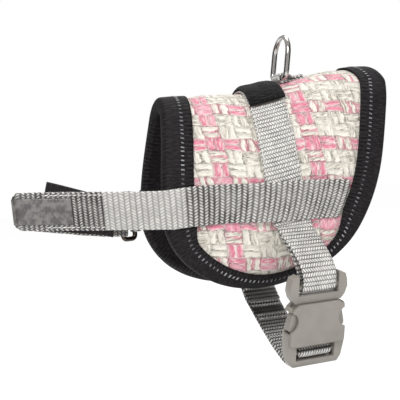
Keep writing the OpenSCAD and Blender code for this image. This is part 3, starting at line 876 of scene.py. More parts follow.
def make_finishes() -> Finishes:
    """Builds every material once."""
    gap, dark = (0.05, 0.046, 0.041), (0.012, 0.011, 0.01)
    tweed = Tweed(
        cream=(0.93, 0.88, 0.79),
        shade=(0.74, 0.69, 0.59),
        pink=(0.84, 0.28, 0.38),
        pale=(0.92, 0.58, 0.63),
        rose=(0.54, 0.08, 0.16),
        taupe=(0.38, 0.34, 0.28),
        pit=(0.07, 0.06, 0.05),
    )
    # The inner colour is a much darker copy of the webbing: painted shade on straps that face away
    # from the light.
    girth, pale, inner = (0.9, 0.88, 0.84), (0.70, 0.682, 0.65), (0.26, 0.25, 0.235)
    # This lapped pair is a darker copy of the webbing: painted shade on layers that lie behind
    # other straps.
    lapped_shade = (0.51, 0.49, 0.465), (0.03, 0.028, 0.025)
    # The belly colour is near black: painted shade under the belly.
    belly = (0.07, 0.062, 0.055), dark
    twine = (0.55, 0.535, 0.51), (0.85, 0.83, 0.79)
    foam = (0.05, 0.05, 0.052), (0.08, 0.08, 0.083)
    lining = (0.003, 0.0025, 0.0025), (0.008, 0.0066, 0.0068)
    ribbed = (0.004, 0.0036, 0.004), (0.034, 0.03, 0.0325)
    pile = (0.0035, 0.003, 0.003), (0.014, 0.012, 0.012)
    hook = (0.02, 0.017, 0.018), (0.05, 0.044, 0.045)
    film = (0.085, 0.079, 0.08), (0.185, 0.175, 0.168)
    thread = (0.08, 0.081, 0.086), (0.32, 0.325, 0.34)
    resin = (0.275, 0.253, 0.225), (0.24, 0.221, 0.197)
    steel = (0.62, 0.60, 0.58), (0.42, 0.40, 0.38)
    # Dark colour of the chest ring's wire: painted shade, as the ring lies in shadow.
    plated = (0.10, 0.08, 0.068), (0.05, 0.04, 0.035)
    flat = dict(roughness=0.6, sheen=0.0)
    # Painted shade on the chest strap from x = -51 mm rearwards.
    chest = dict(shaded_span=(-0.051, -0.020), rib=1.3)
    # Painted light on the belly strap's lower end, near the buckle.
    under = dict(lit=(-0.122, -0.109))
    brushed = dict(roughness=0.75, rows=0.6, fuzz=0.8)
    fluffy = dict(roughness=0.9, sheen=0.12, rows=0.0, fuzz=1.3)
    made = Finishes()
    for key, slot, finish in (
        ("webbing", "webbing", Webbing("Girth webbing", girth, gap, 1.4, 2.1, 0.75, rib=0.8)),
        ("chest", "webbing", Webbing("Chest webbing", pale, gap, 1.45, 2.75, 0.25, **chest)),
        ("lapped_shade", "webbing", Webbing("Lapped webbing in shade", *lapped_shade, 1.3, 2.5, 1.0, rib=1.5)),
        ("shaded", "webbing", Webbing("Shaded inner webbing", inner, dark, 1.5, 2.6, 1.0)),
        ("belly", "webbing", Webbing("Shaded belly webbing", *belly, 1.5, 2.6, 0.9, **under)),
        ("twine", "webbing", Sparkle("Sewing thread", *twine, 500.0, 0.6)),
        ("tweed", "tweed", tweed),
        ("foam", "foam", Tape("Foam", *foam, 0.9, 0.9, 0.0002)),
        ("lining", "lining", Tape("Lining", *lining, 0.8, 0.8, 0.0001, shine=0.07, **flat)),
        (
            "grosgrain",
            "grosgrain",
            Tape("Grosgrain", *ribbed, 40.0, 1.05, 0.0003, fuzz=0.1, shine=0.09, **flat),
        ),
        ("pile", "fleece", Tape("Pile", *pile, 1.3, 1.3, 0.0009, **fluffy)),
        ("hook", "hook_and_loop", Tape("Hook tape", *hook, 0.9, 0.9, 0.0003, **brushed)),
        ("reflective", "reflective", Sparkle("Reflective tape", *film, 320.0)),
        ("thread", "reflective", Sparkle("Reflective thread", *thread, 60.0, 0.5)),
        ("plastic", "buckle_plastic", Solid("Buckle plastic", *resin, 0.36)),
        ("bright", "lead_steel", Solid("Bright wire", *steel, 0.12, metallic=1.0)),
        ("dull", "ring_steel", Solid("Shaded steel wire", *plated, 0.35, metallic=1.0)),
    ):
        made.add(key, slot, finish)
    return made


# ---------------------------------------------------------------- the saddle's surface


@dataclass(frozen=True)
class Saddle:
    """The saddle as a surface of u along the spine and arc length s from the ridge.

    A cross-section is a chain of arcs, given by its heading: 0 at the ridge, the panel's slope
    after the ridge arc, 90 degrees at side_s, 97 at hem_s and hem_turn at the bottom.
    """

    ridge_r: float = 21.0
    ridge_r_k: float = 0.11
    panel_slope: float = 58.0
    slope_gain: float = 12.0
    side_s: float = 78.0
    hem_s: float = 96.0
    hem_heading: float = 97.0
    hem_turn: float = 155.0
    ridge_rise: float = 10.0
    rise_start: float = -20.0
    rise_length: float = 76.0
    front_top: float = 55.0
    front_side: float = 62.0
    rear_top: float = 63.5
    rear_corner: float = 66.0
    rear_taper: float = 0.26
    drop: float = 118.3
    front_start: float = 70.0
    rear_start: float = 58.0
    thick: float = 6.3
    binding_w: float = 15.0
    binding_t: float = 1.0
    webbing_w: float = 19.0
    webbing_t: float = 1.3
    face: float = 0.35
    lap_gap: float = 0.15
    lobe_u: float = -3.0
    lobe_p: float = 1.87
    rear_p: float = 2.6
    corner_s: float = 22.0
    chest_top: float = 68.8
    chest_tilt: float = 0.145
    chest_bow: float = 0.0016
    hop: float = 0.4

    @property
    def ww(self) -> float:
        """Half the webbing's width."""
        return self.webbing_w / 2

    def ridge_z(self, u: Array) -> Array:
        """Height of the ridge: the saddle's thickness plus an eased rise to the tail."""
        return self.thick + self.ridge_rise * ease((u - self.rise_start) / self.rise_length)

    def point(self, u: Array, s: Array, h: Array = 0.0) -> Array:
        """Points of the surface.

        Along an arc of curvature k from heading p to q the width grows by (sin q - sin p) / k
        and the height by (cos q - cos p) / k.

        Args:
            u: Place along the spine, in mm.
            s: Arc length from the ridge, positive on the near side.
            h: Height over the tweed.

        Returns:
            Coordinates with shape (..., 3).
        """
        u, s, h = np.broadcast_arrays(*(np.asarray(v, float) for v in (u, s, h)))
        slope = self.panel_slope + self.slope_gain * ((u + 8) / 60) ** 2
        first = (self.ridge_r + self.ridge_r_k * u) * np.radians(slope)
        lengths = first, self.side_s - first, self.hem_s - self.side_s, self.drop + 2 - self.hem_s
        turns = 0.0, slope, 90.0, self.hem_heading, self.hem_turn
        left = np.abs(s)
        w, z, head = 0 * left, 0 * left, 0 * left
        for k, length in enumerate(lengths):
            step = np.clip(left, 0, length) if k < 3 else np.maximum(left, 0)
            curve = np.radians(turns[k + 1] - turns[k]) / length
            curve = np.where(np.abs(curve) < 1e-6, 1e-6, curve)
            p = np.radians(turns[k])
            q = p + curve * step
            w = w + (np.sin(q) - np.sin(p)) / curve
            z = z + (np.cos(q) - np.cos(p)) / curve
            head = np.where(left > 0, q, head)
            left = left - length
        side = np.where(s < 0, -1.0, 1.0)
        return column(u, -side * (w + h * np.sin(head)), self.ridge_z(u) + z + h * np.cos(head))

    def normal(self, u: Array, s: Array) -> Array:
        """Outward direction of the surface's section."""
        return self.point(u, s, 1.0) - self.point(u, s, 0.0)

    @staticmethod
    def lobe(x: Array, p: float) -> Array:
        """Superellipse quarter: (1 - x^p)^(1/p)."""
        return np.maximum(0, 1 - np.clip(x, 0, 1) ** p) ** (1 / p)

    def rear_line(self, a: Array) -> Array:
        """The straight part of the rear edge, tapering forwards below its corner."""
        return self.rear_corner - self.rear_taper * (a - self.corner_s)

    def front_u(self, a: Array, d: float = 0.0) -> Array:
        """Front edge at arc length a, moved inwards by d."""
        start = self.front_start
        upper = -(self.front_top + (self.front_side - self.front_top) * ease(a / start)) + d
        reach = self.front_side + self.lobe_u - d
        lower = self.lobe_u - reach * self.lobe((a - start) / (self.drop - start - d), self.lobe_p)
        return np.where(a < start, upper, lower)

    def rear_u(self, a: Array, d: float = 0.0) -> Array:
        """Rear edge at arc length a, moved inwards by d."""
        start = self.rear_start
        quarter = np.sin(np.radians(90 * np.clip(a / self.corner_s, 0, 1)))
        top = self.rear_top + (self.rear_corner - self.rear_top) * quarter
        line = self.rear_line(a)
        fall = self.lobe((a - start) / (self.drop - start - d), self.rear_p)
        lower = self.lobe_u + (line - self.lobe_u - d) * fall
        return np.where(a < self.corner_s, top - d, np.where(a < start, line - d, lower))

    def outline(self, step: float) -> Array:
        """Closed run of the edge in (u, s) at equal steps.

        Args:
            step: Distance between stations, in mm.

        Returns:
            Stations with shape (n, 2): down the near front, along the bottom, up the rear and
            over to the far side.
        """
        f0, r0 = self.front_start, self.rear_start
        a = np.linspace(0, f0, 60, endpoint=False)
        g = np.radians(np.linspace(0, 90, 90, endpoint=False))
        front = column(self.front_u(a), a)
        bow = (self.front_side + self.lobe_u) * np.cos(g) ** (2 / self.lobe_p)
        low = column(self.lobe_u - bow, f0 + (self.drop - f0) * np.sin(g) ** (2 / self.lobe_p))
        g = g[::-1] + (g[1] - g[0])
        s = r0 + (self.drop - r0) * np.sin(g) ** (2 / self.rear_p)
        bow = (self.rear_line(s) - self.lobe_u) * np.maximum(np.cos(g), 0) ** (2 / self.rear_p)
        a = np.linspace(r0, 0, 60)[1:]
        half = np.vstack([front, low, column(self.lobe_u + bow, s), column(self.rear_u(a), a)])
        closed = np.vstack([half, half[-2:0:-1] * [1, -1], half[:1]])
        length = travel(self.point(closed[:, 0], closed[:, 1]))
        t = np.linspace(0, length[-1], int(round(length[-1] / step)), endpoint=False)
        return column(*(np.interp(t, length, closed[:, k]) for k in range(2)))

    def girth_u(self, s: Array) -> Array:
        """Middle line of the girth strap: u = -1, eased to 1.5 from s = 56 to 86."""
        return -1 + 2.5 * ease((np.abs(s) - 56) / 30)

    def chest_s(self, u: Array) -> Array:
        """Middle line of the chest strap: a parabola in u + 20."""
        return self.chest_top + self.chest_tilt * (u + 20) + self.chest_bow * (u + 20) ** 2

    def chest_h(self, u: Array) -> Array:
        """Height of the chest strap: over the girth strap, and over the binding at the front."""
        over = 1 - ease((np.abs(u - 1.3) - self.ww - 5.6) / 6)
        front = (self.binding_t + self.hop) * ease((-u - 36) / 8)
        return self.face + (self.webbing_t + self.hop) * over + front


SADDLE = Saddle()


# ---------------------------------------------------------------- straps


@dataclass
class Ribbon:
    """A strap as rows of points and normals across it, to be swept into webbing.

    Attributes:
        points: Points of the base surface, with shape (rows, cols, 3).
        normals: Unit normals there.
        low: Height of the lower face for each row.
        thick: Thickness, in mm; negative towards the other side.
    """

    points: Array
    normals: Array
    low: Array
    thick: float

    @classmethod
    def free(
        cls,
        centre: Array,
        width: Array,
        normal: Array,
        low: Array = 0.0,
        half: float = SADDLE.ww,
        thick: float = SADDLE.webbing_t,
    ) -> "Ribbon":
        """A strap in the air: flat rows across its middle line.

        Args:
            centre: Middle line, with shape (rows, 3).
            width: Unit direction across the strap, one for each row or one for all.
            normal: Unit direction that heights are counted in, likewise.
            low: Height of the lower face.
            half: Half the width.
            thick: Thickness.

        Returns:
            The strap.
        """
        width, normal = (np.broadcast_to(v, centre.shape)[:, None] for v in (width, normal))
        points = centre[:, None] + width * (ACROSS[None, :, None] * half)
        low = np.broadcast_to(np.asarray(low, float), (len(centre),))
        return cls(points, np.broadcast_to(normal, points.shape), low, thick)

    @classmethod
    def laid(cls, u: Array, s: Array, low: Array, thick: float = SADDLE.webbing_t) -> "Ribbon":
        """A strap that lies on the saddle.

        Args:
            u: Places along the spine, with shape (rows, cols).
            s: Arc lengths, likewise.
            low: Height of the inner face.
            thick: Thickness.

        Returns:
            The strap.
        """
        u, s = np.broadcast_arrays(u, s)
        low = np.broadcast_to(np.asarray(low, float), (len(u),))
        return cls(SADDLE.point(u, s), SADDLE.normal(u, s), low, thick)

    def then(self, *others: "Ribbon") -> "Ribbon":
        """This strap with the rows of others after it."""
        rows = [(r.points, r.normals, r.low) for r in (self, *others)]
        return Ribbon(*(np.concatenate(part) for part in zip(*rows)), self.thick)

    def smooth(self, soften: int = 0, step: float = 0.62) -> "Ribbon":
        """The strap resampled at equal steps along its middle.

        Args:
            soften: Passes of a 1-2-1 average along the strap.
            step: Distance between rows, in mm.

        Returns:
            A new strap.
        """
        parts = self.points, self.normals, self.low
        length = travel(self.points[:, MIDDLE] + self.normals[:, MIDDLE] * self.low[:, None])
        keep = np.concatenate([[True], np.diff(length) > 1e-4])
        length = length[keep]
        t = np.linspace(0, length[-1], max(4, int(round(length[-1] / step)) + 1))
        k = np.clip(np.searchsorted(length, t, side="right") - 1, 0, len(length) - 2)
        f = (t - length[k]) / (length[k + 1] - length[k])
        mixed = []
        for part in (part[keep] for part in parts):
            share = f.reshape(-1, *[1] * (part.ndim - 1))
            mixed.append(part[k] * (1 - share) + part[k + 1] * share)
        points, normals, low = mixed
        for _ in range(soften):
            for part in (points, low):
                part[1:-1] = (part[:-2] + 2 * part[1:-1] + part[2:]) / 4
        return Ribbon(points, unit(normals), low, self.thick)

    def build(
        self, name: str, pitch: float, seed: int, rib: float = 0.16, scallop: float = 0.18
    ) -> bpy.types.Object:
        """Sweeps the strap's rounded section along its rows.

        The section is a flat superellipse: height t/2 (1 +- sqrt(1 - 0.97 x^10)). Cross ribs
        raise both faces by rib (|sin(pi v / pitch)|^0.6 - 0.6), and the edges swing in and out
        with the same pitch.

        Args:
            name: Name of the piece.
            pitch: Distance between the ribs, in mm.
            seed: Seed of the slight unevenness.
            rib: Height of a rib, in mm.
            scallop: Swing of the edges, in mm.

        Returns:
            The strap.
        """
        x = ACROSS[None]
        run = travel(self.points[:, MIDDLE])
        span = self.points[:, -1] - self.points[:, 0]
        place = x * np.linalg.norm(span, axis=-1)[:, None] / 2
        wave = np.abs(np.sin(np.pi * run / pitch))
        swell = rib * (wave**0.6 - 0.6)[:, None] * (1 - x**8)
        swell = swell + 0.05 * wobble(run[:, None], place, 5.0, seed)
        swing = scallop * (wave**0.7 - 0.7) + 0.12 * wobble(run, 0 * run, 17.0, seed + 3)
        base = self.points + unit(span)[:, None] * (x[..., None] ** 3) * swing[:, None, None]
        bow = np.sqrt(1 - 0.97 * np.abs(x) ** 10) * self.thick / 2
        swell = swell * math.copysign(1.0, self.thick)
        middle = self.low[:, None] + self.thick / 2
        top = base + self.normals * (middle + bow + swell)[..., None]
        low = base + self.normals * (middle - bow - 0.5 * swell)[..., None]
        return slab(name, top, low, column(place, run[:, None]))

    def stitches(
        self, name: str, offset: float, start: float, end: float, pitch: float = 2.4
    ) -> bpy.types.Object:
        """A row of thread along the strap, at an offset across it, on its outer face.

        Args:
            name: Name of the piece.
            offset: Place across the strap, from -1 to 1.
            start: First distance along the strap, in mm.
            end: Last distance, in mm.
            pitch: Distance between the stitches.

        Returns:
            The stitches.
        """
        run = travel(self.points[:, MIDDLE])
        places = np.arange(start, min(end, run[-1] - 1), pitch)
        k = np.searchsorted(run, places).clip(1, len(run) - 2)
        c = int(round((offset + 1) / 2 * (len(ACROSS) - 1)))
        rise = self.low[k, None] + self.thick + math.copysign(0.12, self.thick)
        along = unit(self.points[k + 1, c] - self.points[k - 1, c]) * pitch * 0.36
        across = unit(self.points[k, -1] - self.points[k, 0]) * 0.28
        normal = self.normals[k, c]
        up = normal * math.copysign(0.22, self.thick)
        return lozenges(name, self.points[k, c] + normal * rise, along, across, up)

    def tacks(self, name: str, heights: Sequence[float], over: bool) -> bpy.types.Object:
        """Bar tacks: lines of thread across a hanging strap, slanting up and down by turns.

        Args:
            name: Name of the piece.
            heights: Z of each line, in mm.
            over: Whether they lie on the side that the thickness is counted towards.

        Returns:
            The thread.
        """
        c = np.arange(2, len(ACROSS) - 2)
        slant = np.where(c % 2 == 0, 1.0, -1.0)[:, None]
        rise = math.copysign(0.16, self.thick)
        level = self.points[:, MIDDLE, 2]
        lines: list[Array] = []
        for height in heights:
            k = int(np.abs(level - height).argmin().clip(2, len(level) - 3))
            face = self.low[k] + (self.thick + rise if over else -rise)
            across = unit(self.points[k, -1] - self.points[k, 0])
            heading = unit(self.points[k + 1, c] - self.points[k - 1, c])
            at = self.points[k, c] + self.normals[k, c] * face
            half = across * 0.45 + heading * slant * 0.95
            thin = unit(heading - across * slant) * 0.24
            up = self.normals[k, c] * math.copysign(0.24, rise if over else -rise)
            lines.append(np.stack([at, half, thin, up]))
        return lozenges(name, *np.concatenate(lines, 1))


# ---------------------------------------------------------------- the buckle's frame


@dataclass(frozen=True)
class BuckleFrame:
    """Place of the buckle: x across it, y inwards, z up from near the tops of its posts."""

    origin: tuple[float, float, float] = (7.5, -46.5, -87.5)
    tilt: float = 14.0
    yaw: float = 10.0
    bar_z: float = -4.6
    bar_m: float = 38.9
    bar_b: float = 42.5
    wrap: float = 1.8
    turn: float = 1.5
    leg_y: float = 2.9

    def turned(self, x: Array, y: Array, z: Array) -> Array:
        """A direction, or directions, of the buckle, tilted and then turned."""
        a, g = math.radians(self.tilt), math.radians(self.yaw)
        y, z = y * math.cos(a) - z * math.sin(a), y * math.sin(a) + z * math.cos(a)
        return column(x * math.cos(g) - y * math.sin(g), x * math.sin(g) + y * math.cos(g), z)

    def at(self, x: Array, y: Array, z: Array) -> Array:
        """A point, or points, of the buckle."""
        return self.turned(x, y, z) + np.array(self.origin)


BUCKLE = BuckleFrame()


# ---------------------------------------------------------------- sub-assemblies


@dataclass
class SaddlePad:
    """The padded saddle: tweed face, foam, lining, edge binding and its reflective dashes."""

    finishes: Finishes
    puff: float = 0.9
    sag: float = 0.5
    length: float = 126.0
    edge: float = 1.8
    hem: float = 2.4
    nose: float = 2.6
    dash: float = 9.5
    dash_pitch: float = 2.35
    lift: float = 0.3

    def slack(self, u: Array, s: Array) -> Array:
        """Distance to the nearest strap or binding, in mm, which sets how far the face swells."""
        a = np.abs(s)
        girth = np.abs(u - SADDLE.girth_u(s)) - SADDLE.ww
        chest = np.abs(a - SADDLE.chest_s(u)) - SADDLE.ww
        chest = np.where(u > 36, np.maximum(chest, u - 36), chest)
        w = SADDLE.binding_w
        edges = u - SADDLE.front_u(a) - w, SADDLE.rear_u(a) - w - u, SADDLE.drop - w - a
        return np.minimum.reduce([girth, chest, *edges])

    def layer(
        self, name: str, top: float, low: float, step: float, puff: float = 0.0, sag: float = 0.0
    ) -> bpy.types.Object:
        """A closed sheet that follows the saddle between two heights.

        The swell grows with the eased distance to the nearest strap, over 11 mm, and the sag
        fades towards the hem. Both vary with smooth noise.

        Args:
            name: Name of the piece.
            top: Height of the outer face.
            low: Height of the inner face.
            step: Size of a grid cell, in mm.
            puff: How far the outer face swells between the straps.
            sag: How far the inner face swells, as a quilted lining does.

        Returns:
            The sheet.
        """
        reach = SADDLE.drop - self.hem
        s = np.linspace(-reach, reach, int(2 * reach / step))[:, None]
        f = np.linspace(0, 1, int(self.length / step))[None]
        a = np.abs(s)
        u = SADDLE.front_u(a, self.edge) * (1 - f) + SADDLE.rear_u(a, self.edge) * f
        s = np.broadcast_to(s, u.shape)
        rise = puff * ease(self.slack(u, s) / 11) * (1 + 0.25 * wobble(u, s, 24, 5))
        fall = sag * ease((SADDLE.drop - 10 - a) / 12) * (0.6 + 0.4 * wobble(u, s, 30, 9))
        faces = SADDLE.point(u, s, top + rise), SADDLE.point(u, s, low - fall)
        return slab(name, *faces, column(u, s))

    @staticmethod
    def inward(run: Array) -> Array:
        """Unit directions in (u, s) at right angles to the edge, towards the saddle's middle."""
        t = unit(np.roll(run, -1, 0) - np.roll(run, 1, 0))
        return column(t[:, 1], -t[:, 0])

    def moved_in(self, run: Array, inwards: Array) -> Array:
        """Stations of the saddle's edge, moved inwards.

        Past the nose the distance is up to 36 % less along the bottom hems, where the binding
        is narrower.

        Args:
            run: Closed run of stations in (u, s), with shape (n, 2).
            inwards: Distances from the edge on the sides of the saddle, with shape (m,).

        Returns:
            Places in (u, s), with shape (n, m, 2).
        """
        start = 76 + 15 * ease((run[:, 0] - 5) / 15)
        share = 1 - 0.36 * ease((np.abs(run[:, 1]) - start) / 16)
        past = np.maximum(inwards[None] - self.nose, 0)
        width = np.minimum(inwards[None], self.nose) + past * share[:, None]
        return run[:, None] + self.inward(run)[:, None] * width[..., None]

    def binding(self) -> bpy.types.Object:
        """The binding: its section carried along the edge, out, round the edge and back inside."""
        lift, nose = self.lift, self.nose
        b, lo = SADDLE.binding_t, -SADDLE.thick - lift
        top = np.linspace(SADDLE.binding_w, nose, 12)
        crown = lift + b + 0.12 * np.sin(np.pi * (top - nose) / (SADDLE.binding_w - nose))
        turn = degrees(90, 270, 15)[1:-1]
        mid, rad = (lift + lo) / 2, (lift - lo) / 2 + b
        bulge = rad * np.sign(np.sin(turn)) * np.abs(np.sin(turn)) ** 0.75
        under = np.linspace(nose, 11, 8)
        outer = column(top, crown), column(nose + 2.5 * np.cos(turn), mid + bulge)
        back = [[1.3, lo + 0.3], [1.3, 0.0], [1.5, lift], [SADDLE.binding_w, lift]]
        profile = np.vstack([*outer, column(under, lo - b), [[11, lo], [1.5, lo], *back]])
        run = SADDLE.outline(1.0)
        q = self.moved_in(run, profile[:, 0])
        rings = SADDLE.point(q[..., 0], q[..., 1], profile[None, :, 1])
        length = travel(SADDLE.point(run[:, 0], run[:, 1]))
        uv = column(travel(profile)[None], length[:, None])
        return tube("edge_binding_tape", rings, uv, looped=True)

    def dashes(self) -> bpy.types.Object:
        """Reflective stitches across the binding, at a fixed distance from its outer edge."""
        run = SADDLE.outline(0.4)
        q = self.moved_in(run, np.array([self.dash]))[:, 0]
        top = self.lift + SADDLE.binding_t + 0.13
        place, inner = (SADDLE.point(*v.T, top) for v in (q, q + self.inward(run)))
        length = travel(place)
        count = int(length[-1] / self.dash_pitch)
        k = np.searchsorted(length, np.linspace(0, length[-1], count, endpoint=False))
        along = unit(np.roll(place, -1, 0) - np.roll(place, 1, 0))[k]
        rng = np.random.default_rng(4)
        size = rng.uniform(0.72, 1.02, count)[:, None]
        lean = rng.normal(0, 0.12, count)[:, None]
        out = unit(unit(inner[k] - place[k]) + along * (lean + 0.12)) * size
        up = SADDLE.normal(*q[k].T) * 0.16
        return lozenges("reflective_dashes", place[k], out, along * 0.45 * size, up)

    def cut(self) -> tuple[tuple[float, float], float]:
        """Width, length and area, in metres, that the cloth of the saddle was cut to."""
        s = np.linspace(0, SADDLE.drop - self.hem, 400)
        front, rear = SADDLE.front_u(s, self.edge), SADDLE.rear_u(s, self.edge)
        area = 2 * float(np.mean(rear - front)) * s[-1]
        return (float(rear.max() - front.min()) * MM, 2 * s[-1] * MM), area * MM * MM

    def build(self) -> Pieces:
        """Builds and places all pieces of the pad."""
        skin = -SADDLE.thick
        face = self.layer("tweed_face", 0.0, -2.0, 0.8, puff=self.puff)
        foam = self.layer("foam_core", -2.1, -5.0, 2.2)
        lining = self.layer("mesh_lining", skin + 1.2, skin, 1.3, sag=self.sag)
        pieces = [
            self.finishes.dress(obj, key, node)
            for obj, key, node in (
                (face, "tweed", "saddle_shell"),
                (foam, "foam", "saddle_padding"),
                (lining, "lining", "saddle_lining"),
                (self.binding(), "grosgrain", "edge_binding"),
                (self.dashes(), "thread", "reflective_thread"),
            )
        ]
        flat, area = self.cut()
        return pieces


@dataclass
class GirthStrap:
    """Both halves of the girth strap and the near end that is sewn back round the buckle's bar."""

    finishes: Finishes
    leave: float = 83.0
    handle_s: float = 23.0

    def near_run(self, t: Array) -> Array:
        """Middle line from the saddle to the front of the buckle's bar: a cubic curve."""
        a = SADDLE.point(SADDLE.girth_u(self.leave), self.leave)
        before = SADDLE.point(SADDLE.girth_u(self.leave - 4), self.leave - 4)
        b = BUCKLE.at(0, -BUCKLE.wrap, BUCKLE.bar_z + 3)
        leaving = unit(a - before) * 8 + [1.5, -1.5, 0]
        return bezier(a, a + leaving, b + BUCKLE.turned(0, 0, 11), b, t)

    def far_run(self, t: Array) -> Array:
        """Middle line of the far half, from the saddle to where the belly strap is sewn on."""
        a = SADDLE.point(SADDLE.girth_u(self.leave), -self.leave)
        c, d = np.array([[3.4, 36, -96], [3.8, 22, -104.5]])
        return bezier(a, a + [0.5, 1.5, -10], c, d, t)

    def far_out(self, t: Array) -> Array:
        """Outward direction of the far half: the strap's width crossed with its heading."""
        return unit(np.cross([1, 0, 0], self.far_run(t + AHEAD) - self.far_run(t - AHEAD)))

    def flat(self, side: Side) -> Ribbon:
        """The part on the saddle."""
        s = np.linspace(self.handle_s - 3, self.leave, 76)[:, None]
        u = SADDLE.girth_u(s) - side.value * ACROSS[None] * SADDLE.ww
        return Ribbon.laid(u, s * side.value, SADDLE.face)

    def fly(self, t: Array) -> tuple[Array, Array, Array]:
        """Centre, width direction and outward direction of the near free run."""
        w = unit(blend(np.array([-1.0, 0, 0]), BUCKLE.turned(-1, 0, 0), t))
        heading = self.near_run(t + AHEAD) - self.near_run(t - AHEAD)
        return self.near_run(t), w, unit(np.cross(w, heading))

    def near(self) -> Ribbon:
        """The near half: on the saddle, down to the buckle and round its bar."""
        g, r = degrees(0, 180, 20), BUCKLE.wrap
        ring = BUCKLE.at(0, -r * np.cos(g), BUCKLE.bar_z - r * np.sin(g))
        out = BUCKLE.turned(0, -np.cos(g), -np.sin(g))
        run = Ribbon.free(*self.fly(np.linspace(0.12, 0.96, 40)), SADDLE.face)
        turn = Ribbon.free(ring, BUCKLE.turned(-1, 0, 0), out, SADDLE.face)
        return self.flat(Side.NEAR).then(run, turn).smooth(3)

    def sewn_back(self) -> Ribbon:
        """The end behind the bar, which comes back up against the strap."""
        t = np.linspace(0.16, 0.97, 36)
        far = -2 * BUCKLE.wrap - SADDLE.face
        size = SADDLE.ww, -SADDLE.webbing_t
        up = Ribbon.free(*self.fly(t), 0.1 + (far - 0.1) * ease((t - 0.3) / 0.65), *size)
        tail = BUCKLE.at(0, -BUCKLE.wrap, BUCKLE.bar_z + np.array([3.0, 1.6, 0.3]))
        end = Ribbon.free(tail, BUCKLE.turned(-1, 0, 0), BUCKLE.turned(0, -1, 0), far, *size)
        return up.then(end).smooth(3)

    def far(self) -> Ribbon:
        """The far half."""
        t = np.linspace(0.12, 1, 50)
        run = Ribbon.free(self.far_run(t), [1.0, 0, 0], self.far_out(t), SADDLE.face)
        return self.flat(Side.FAR).then(run).smooth(3)

    def build(self) -> Pieces:
        """Builds and places the girth strap."""
        return [
            self.finishes.dress(ribbon.build(name, 2.9, len(name)), key, node)
            for name, ribbon, node, key in (
                ("girth_near", self.near(), "girth_strap_near", "webbing"),
                ("girth_sewn_back", self.sewn_back(), "girth_strap_return", "lapped_shade"),
                ("girth_far", self.far(), "girth_strap_far", "shaded"),
            )
        ]


@dataclass
class BellyStrap:
    """The strap under the belly, its turn round the ladder bar and its adjusting end."""

    finishes: Finishes
    girth: GirthStrap
    lap: float = SADDLE.face + 2 * SADDLE.webbing_t + SADDLE.lap_gap
    off: float = SADDLE.webbing_t + 0.25

    def run(self, t: Array) -> Array:
        """Outer middle line under the belly: a cubic curve."""
        far_b, before = (self.girth.far_run(np.array(v)) for v in (1.0, 0.98))
        a = far_b + self.girth.far_out(np.array(1.0)) * self.lap
        b = BUCKLE.at(0, BUCKLE.leg_y, -BUCKLE.bar_b - 4.2)
        return bezier(a, a + unit(far_b - before) * 13, b + BUCKLE.turned(0, 4.5, -9), b, t)

    def rows(self, t: Array, low: float = 0.0) -> Ribbon:
        """The part under the belly; heights go inwards from the outer face."""
        w = unit(blend(np.array([1.0, 0, 0]), BUCKLE.turned(1, 0, 0), t))
        n = -unit(np.cross(w, self.run(t + AHEAD) - self.run(t - AHEAD)))
        return Ribbon.free(self.run(t), w, n, low)

    @staticmethod
    def held(y: Array, z: Array, out: tuple[Array, Array], low: float = 0.0) -> Ribbon:
        """Rows square to the buckle.

        Args:
            y: Depths in the buckle's frame.
            z: Heights in it.
            out: Outward direction in it, as y and z.
            low: Height of the lower face.

        Returns:
            The rows.
        """
        return Ribbon.free(BUCKLE.at(0, y, z), BUCKLE.turned(1, 0, 0), BUCKLE.turned(0, *out), low)

    def main(self) -> Ribbon:
        """Lap on the far strap, run under the belly, leg and turn round the ladder bar."""
        t = np.linspace(0.6, 0.96, 16)
        out = self.girth.far_out(t)
        lap = Ribbon.free(self.girth.far_run(t) + out * self.lap, [1.0, 0, 0], -out)
        g, r, bar = degrees(0, 180, 18), BUCKLE.turn, -BUCKLE.bar_b
        leg = self.held(BUCKLE.leg_y, np.linspace(bar - 3.5, bar + 0.2, 6), (1, 0))
        way = -np.sin(g), -np.cos(g)
        turn = self.held(r * way[0], r * way[1] - BUCKLE.bar_m, way)
        return lap.then(self.rows(np.linspace(0.04, 1, 60)), leg, turn).smooth(2)

    def tail(self) -> Ribbon:
        """The adjusting end, folded over the ladder bar."""
        off, y, z = self.off, BUCKLE.leg_y + self.off, -BUCKLE.bar_m + BUCKLE.turn
        leg = self.held(BUCKLE.leg_y, np.linspace(-BUCKLE.bar_b - 3.5, z - 2.2, 8), (1, 0), off)
        g = degrees(0, 90, 10)
        way = np.cos(g), np.sin(g)
        bend = self.held(y - 1 + (1 - off) * way[0], z - 1 + (1 - off) * way[1], way, off)
        last = self.held(np.array([1.2, 0.2]), z - off, (0, 1), off)
        return self.rows(np.linspace(0.45, 1, 40), off).then(leg, bend, last).smooth(1)

    def build(self) -> Pieces:
        """Builds the belly strap and bakes its pieces in place."""
        main = self.main()
        start, end = (tuple(self.run(np.array(t)) * MM) for t in (0.15, 0.97))
        pieces = []
        for obj, key, node in (
            (main.build("belly_run", 2.6, 21), "belly", "belly_strap"),
            (self.tail().build("belly_tail", 2.6, 22), "belly", "belly_strap_return"),
            (main.tacks("belly_tacks", (-107.2, -109.0, -113.2, -115.0), True), "twine", None),
        ):
            self.finishes.dress(obj, key, node, body=None)
            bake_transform(obj)
            pieces.append(obj)
        return pieces


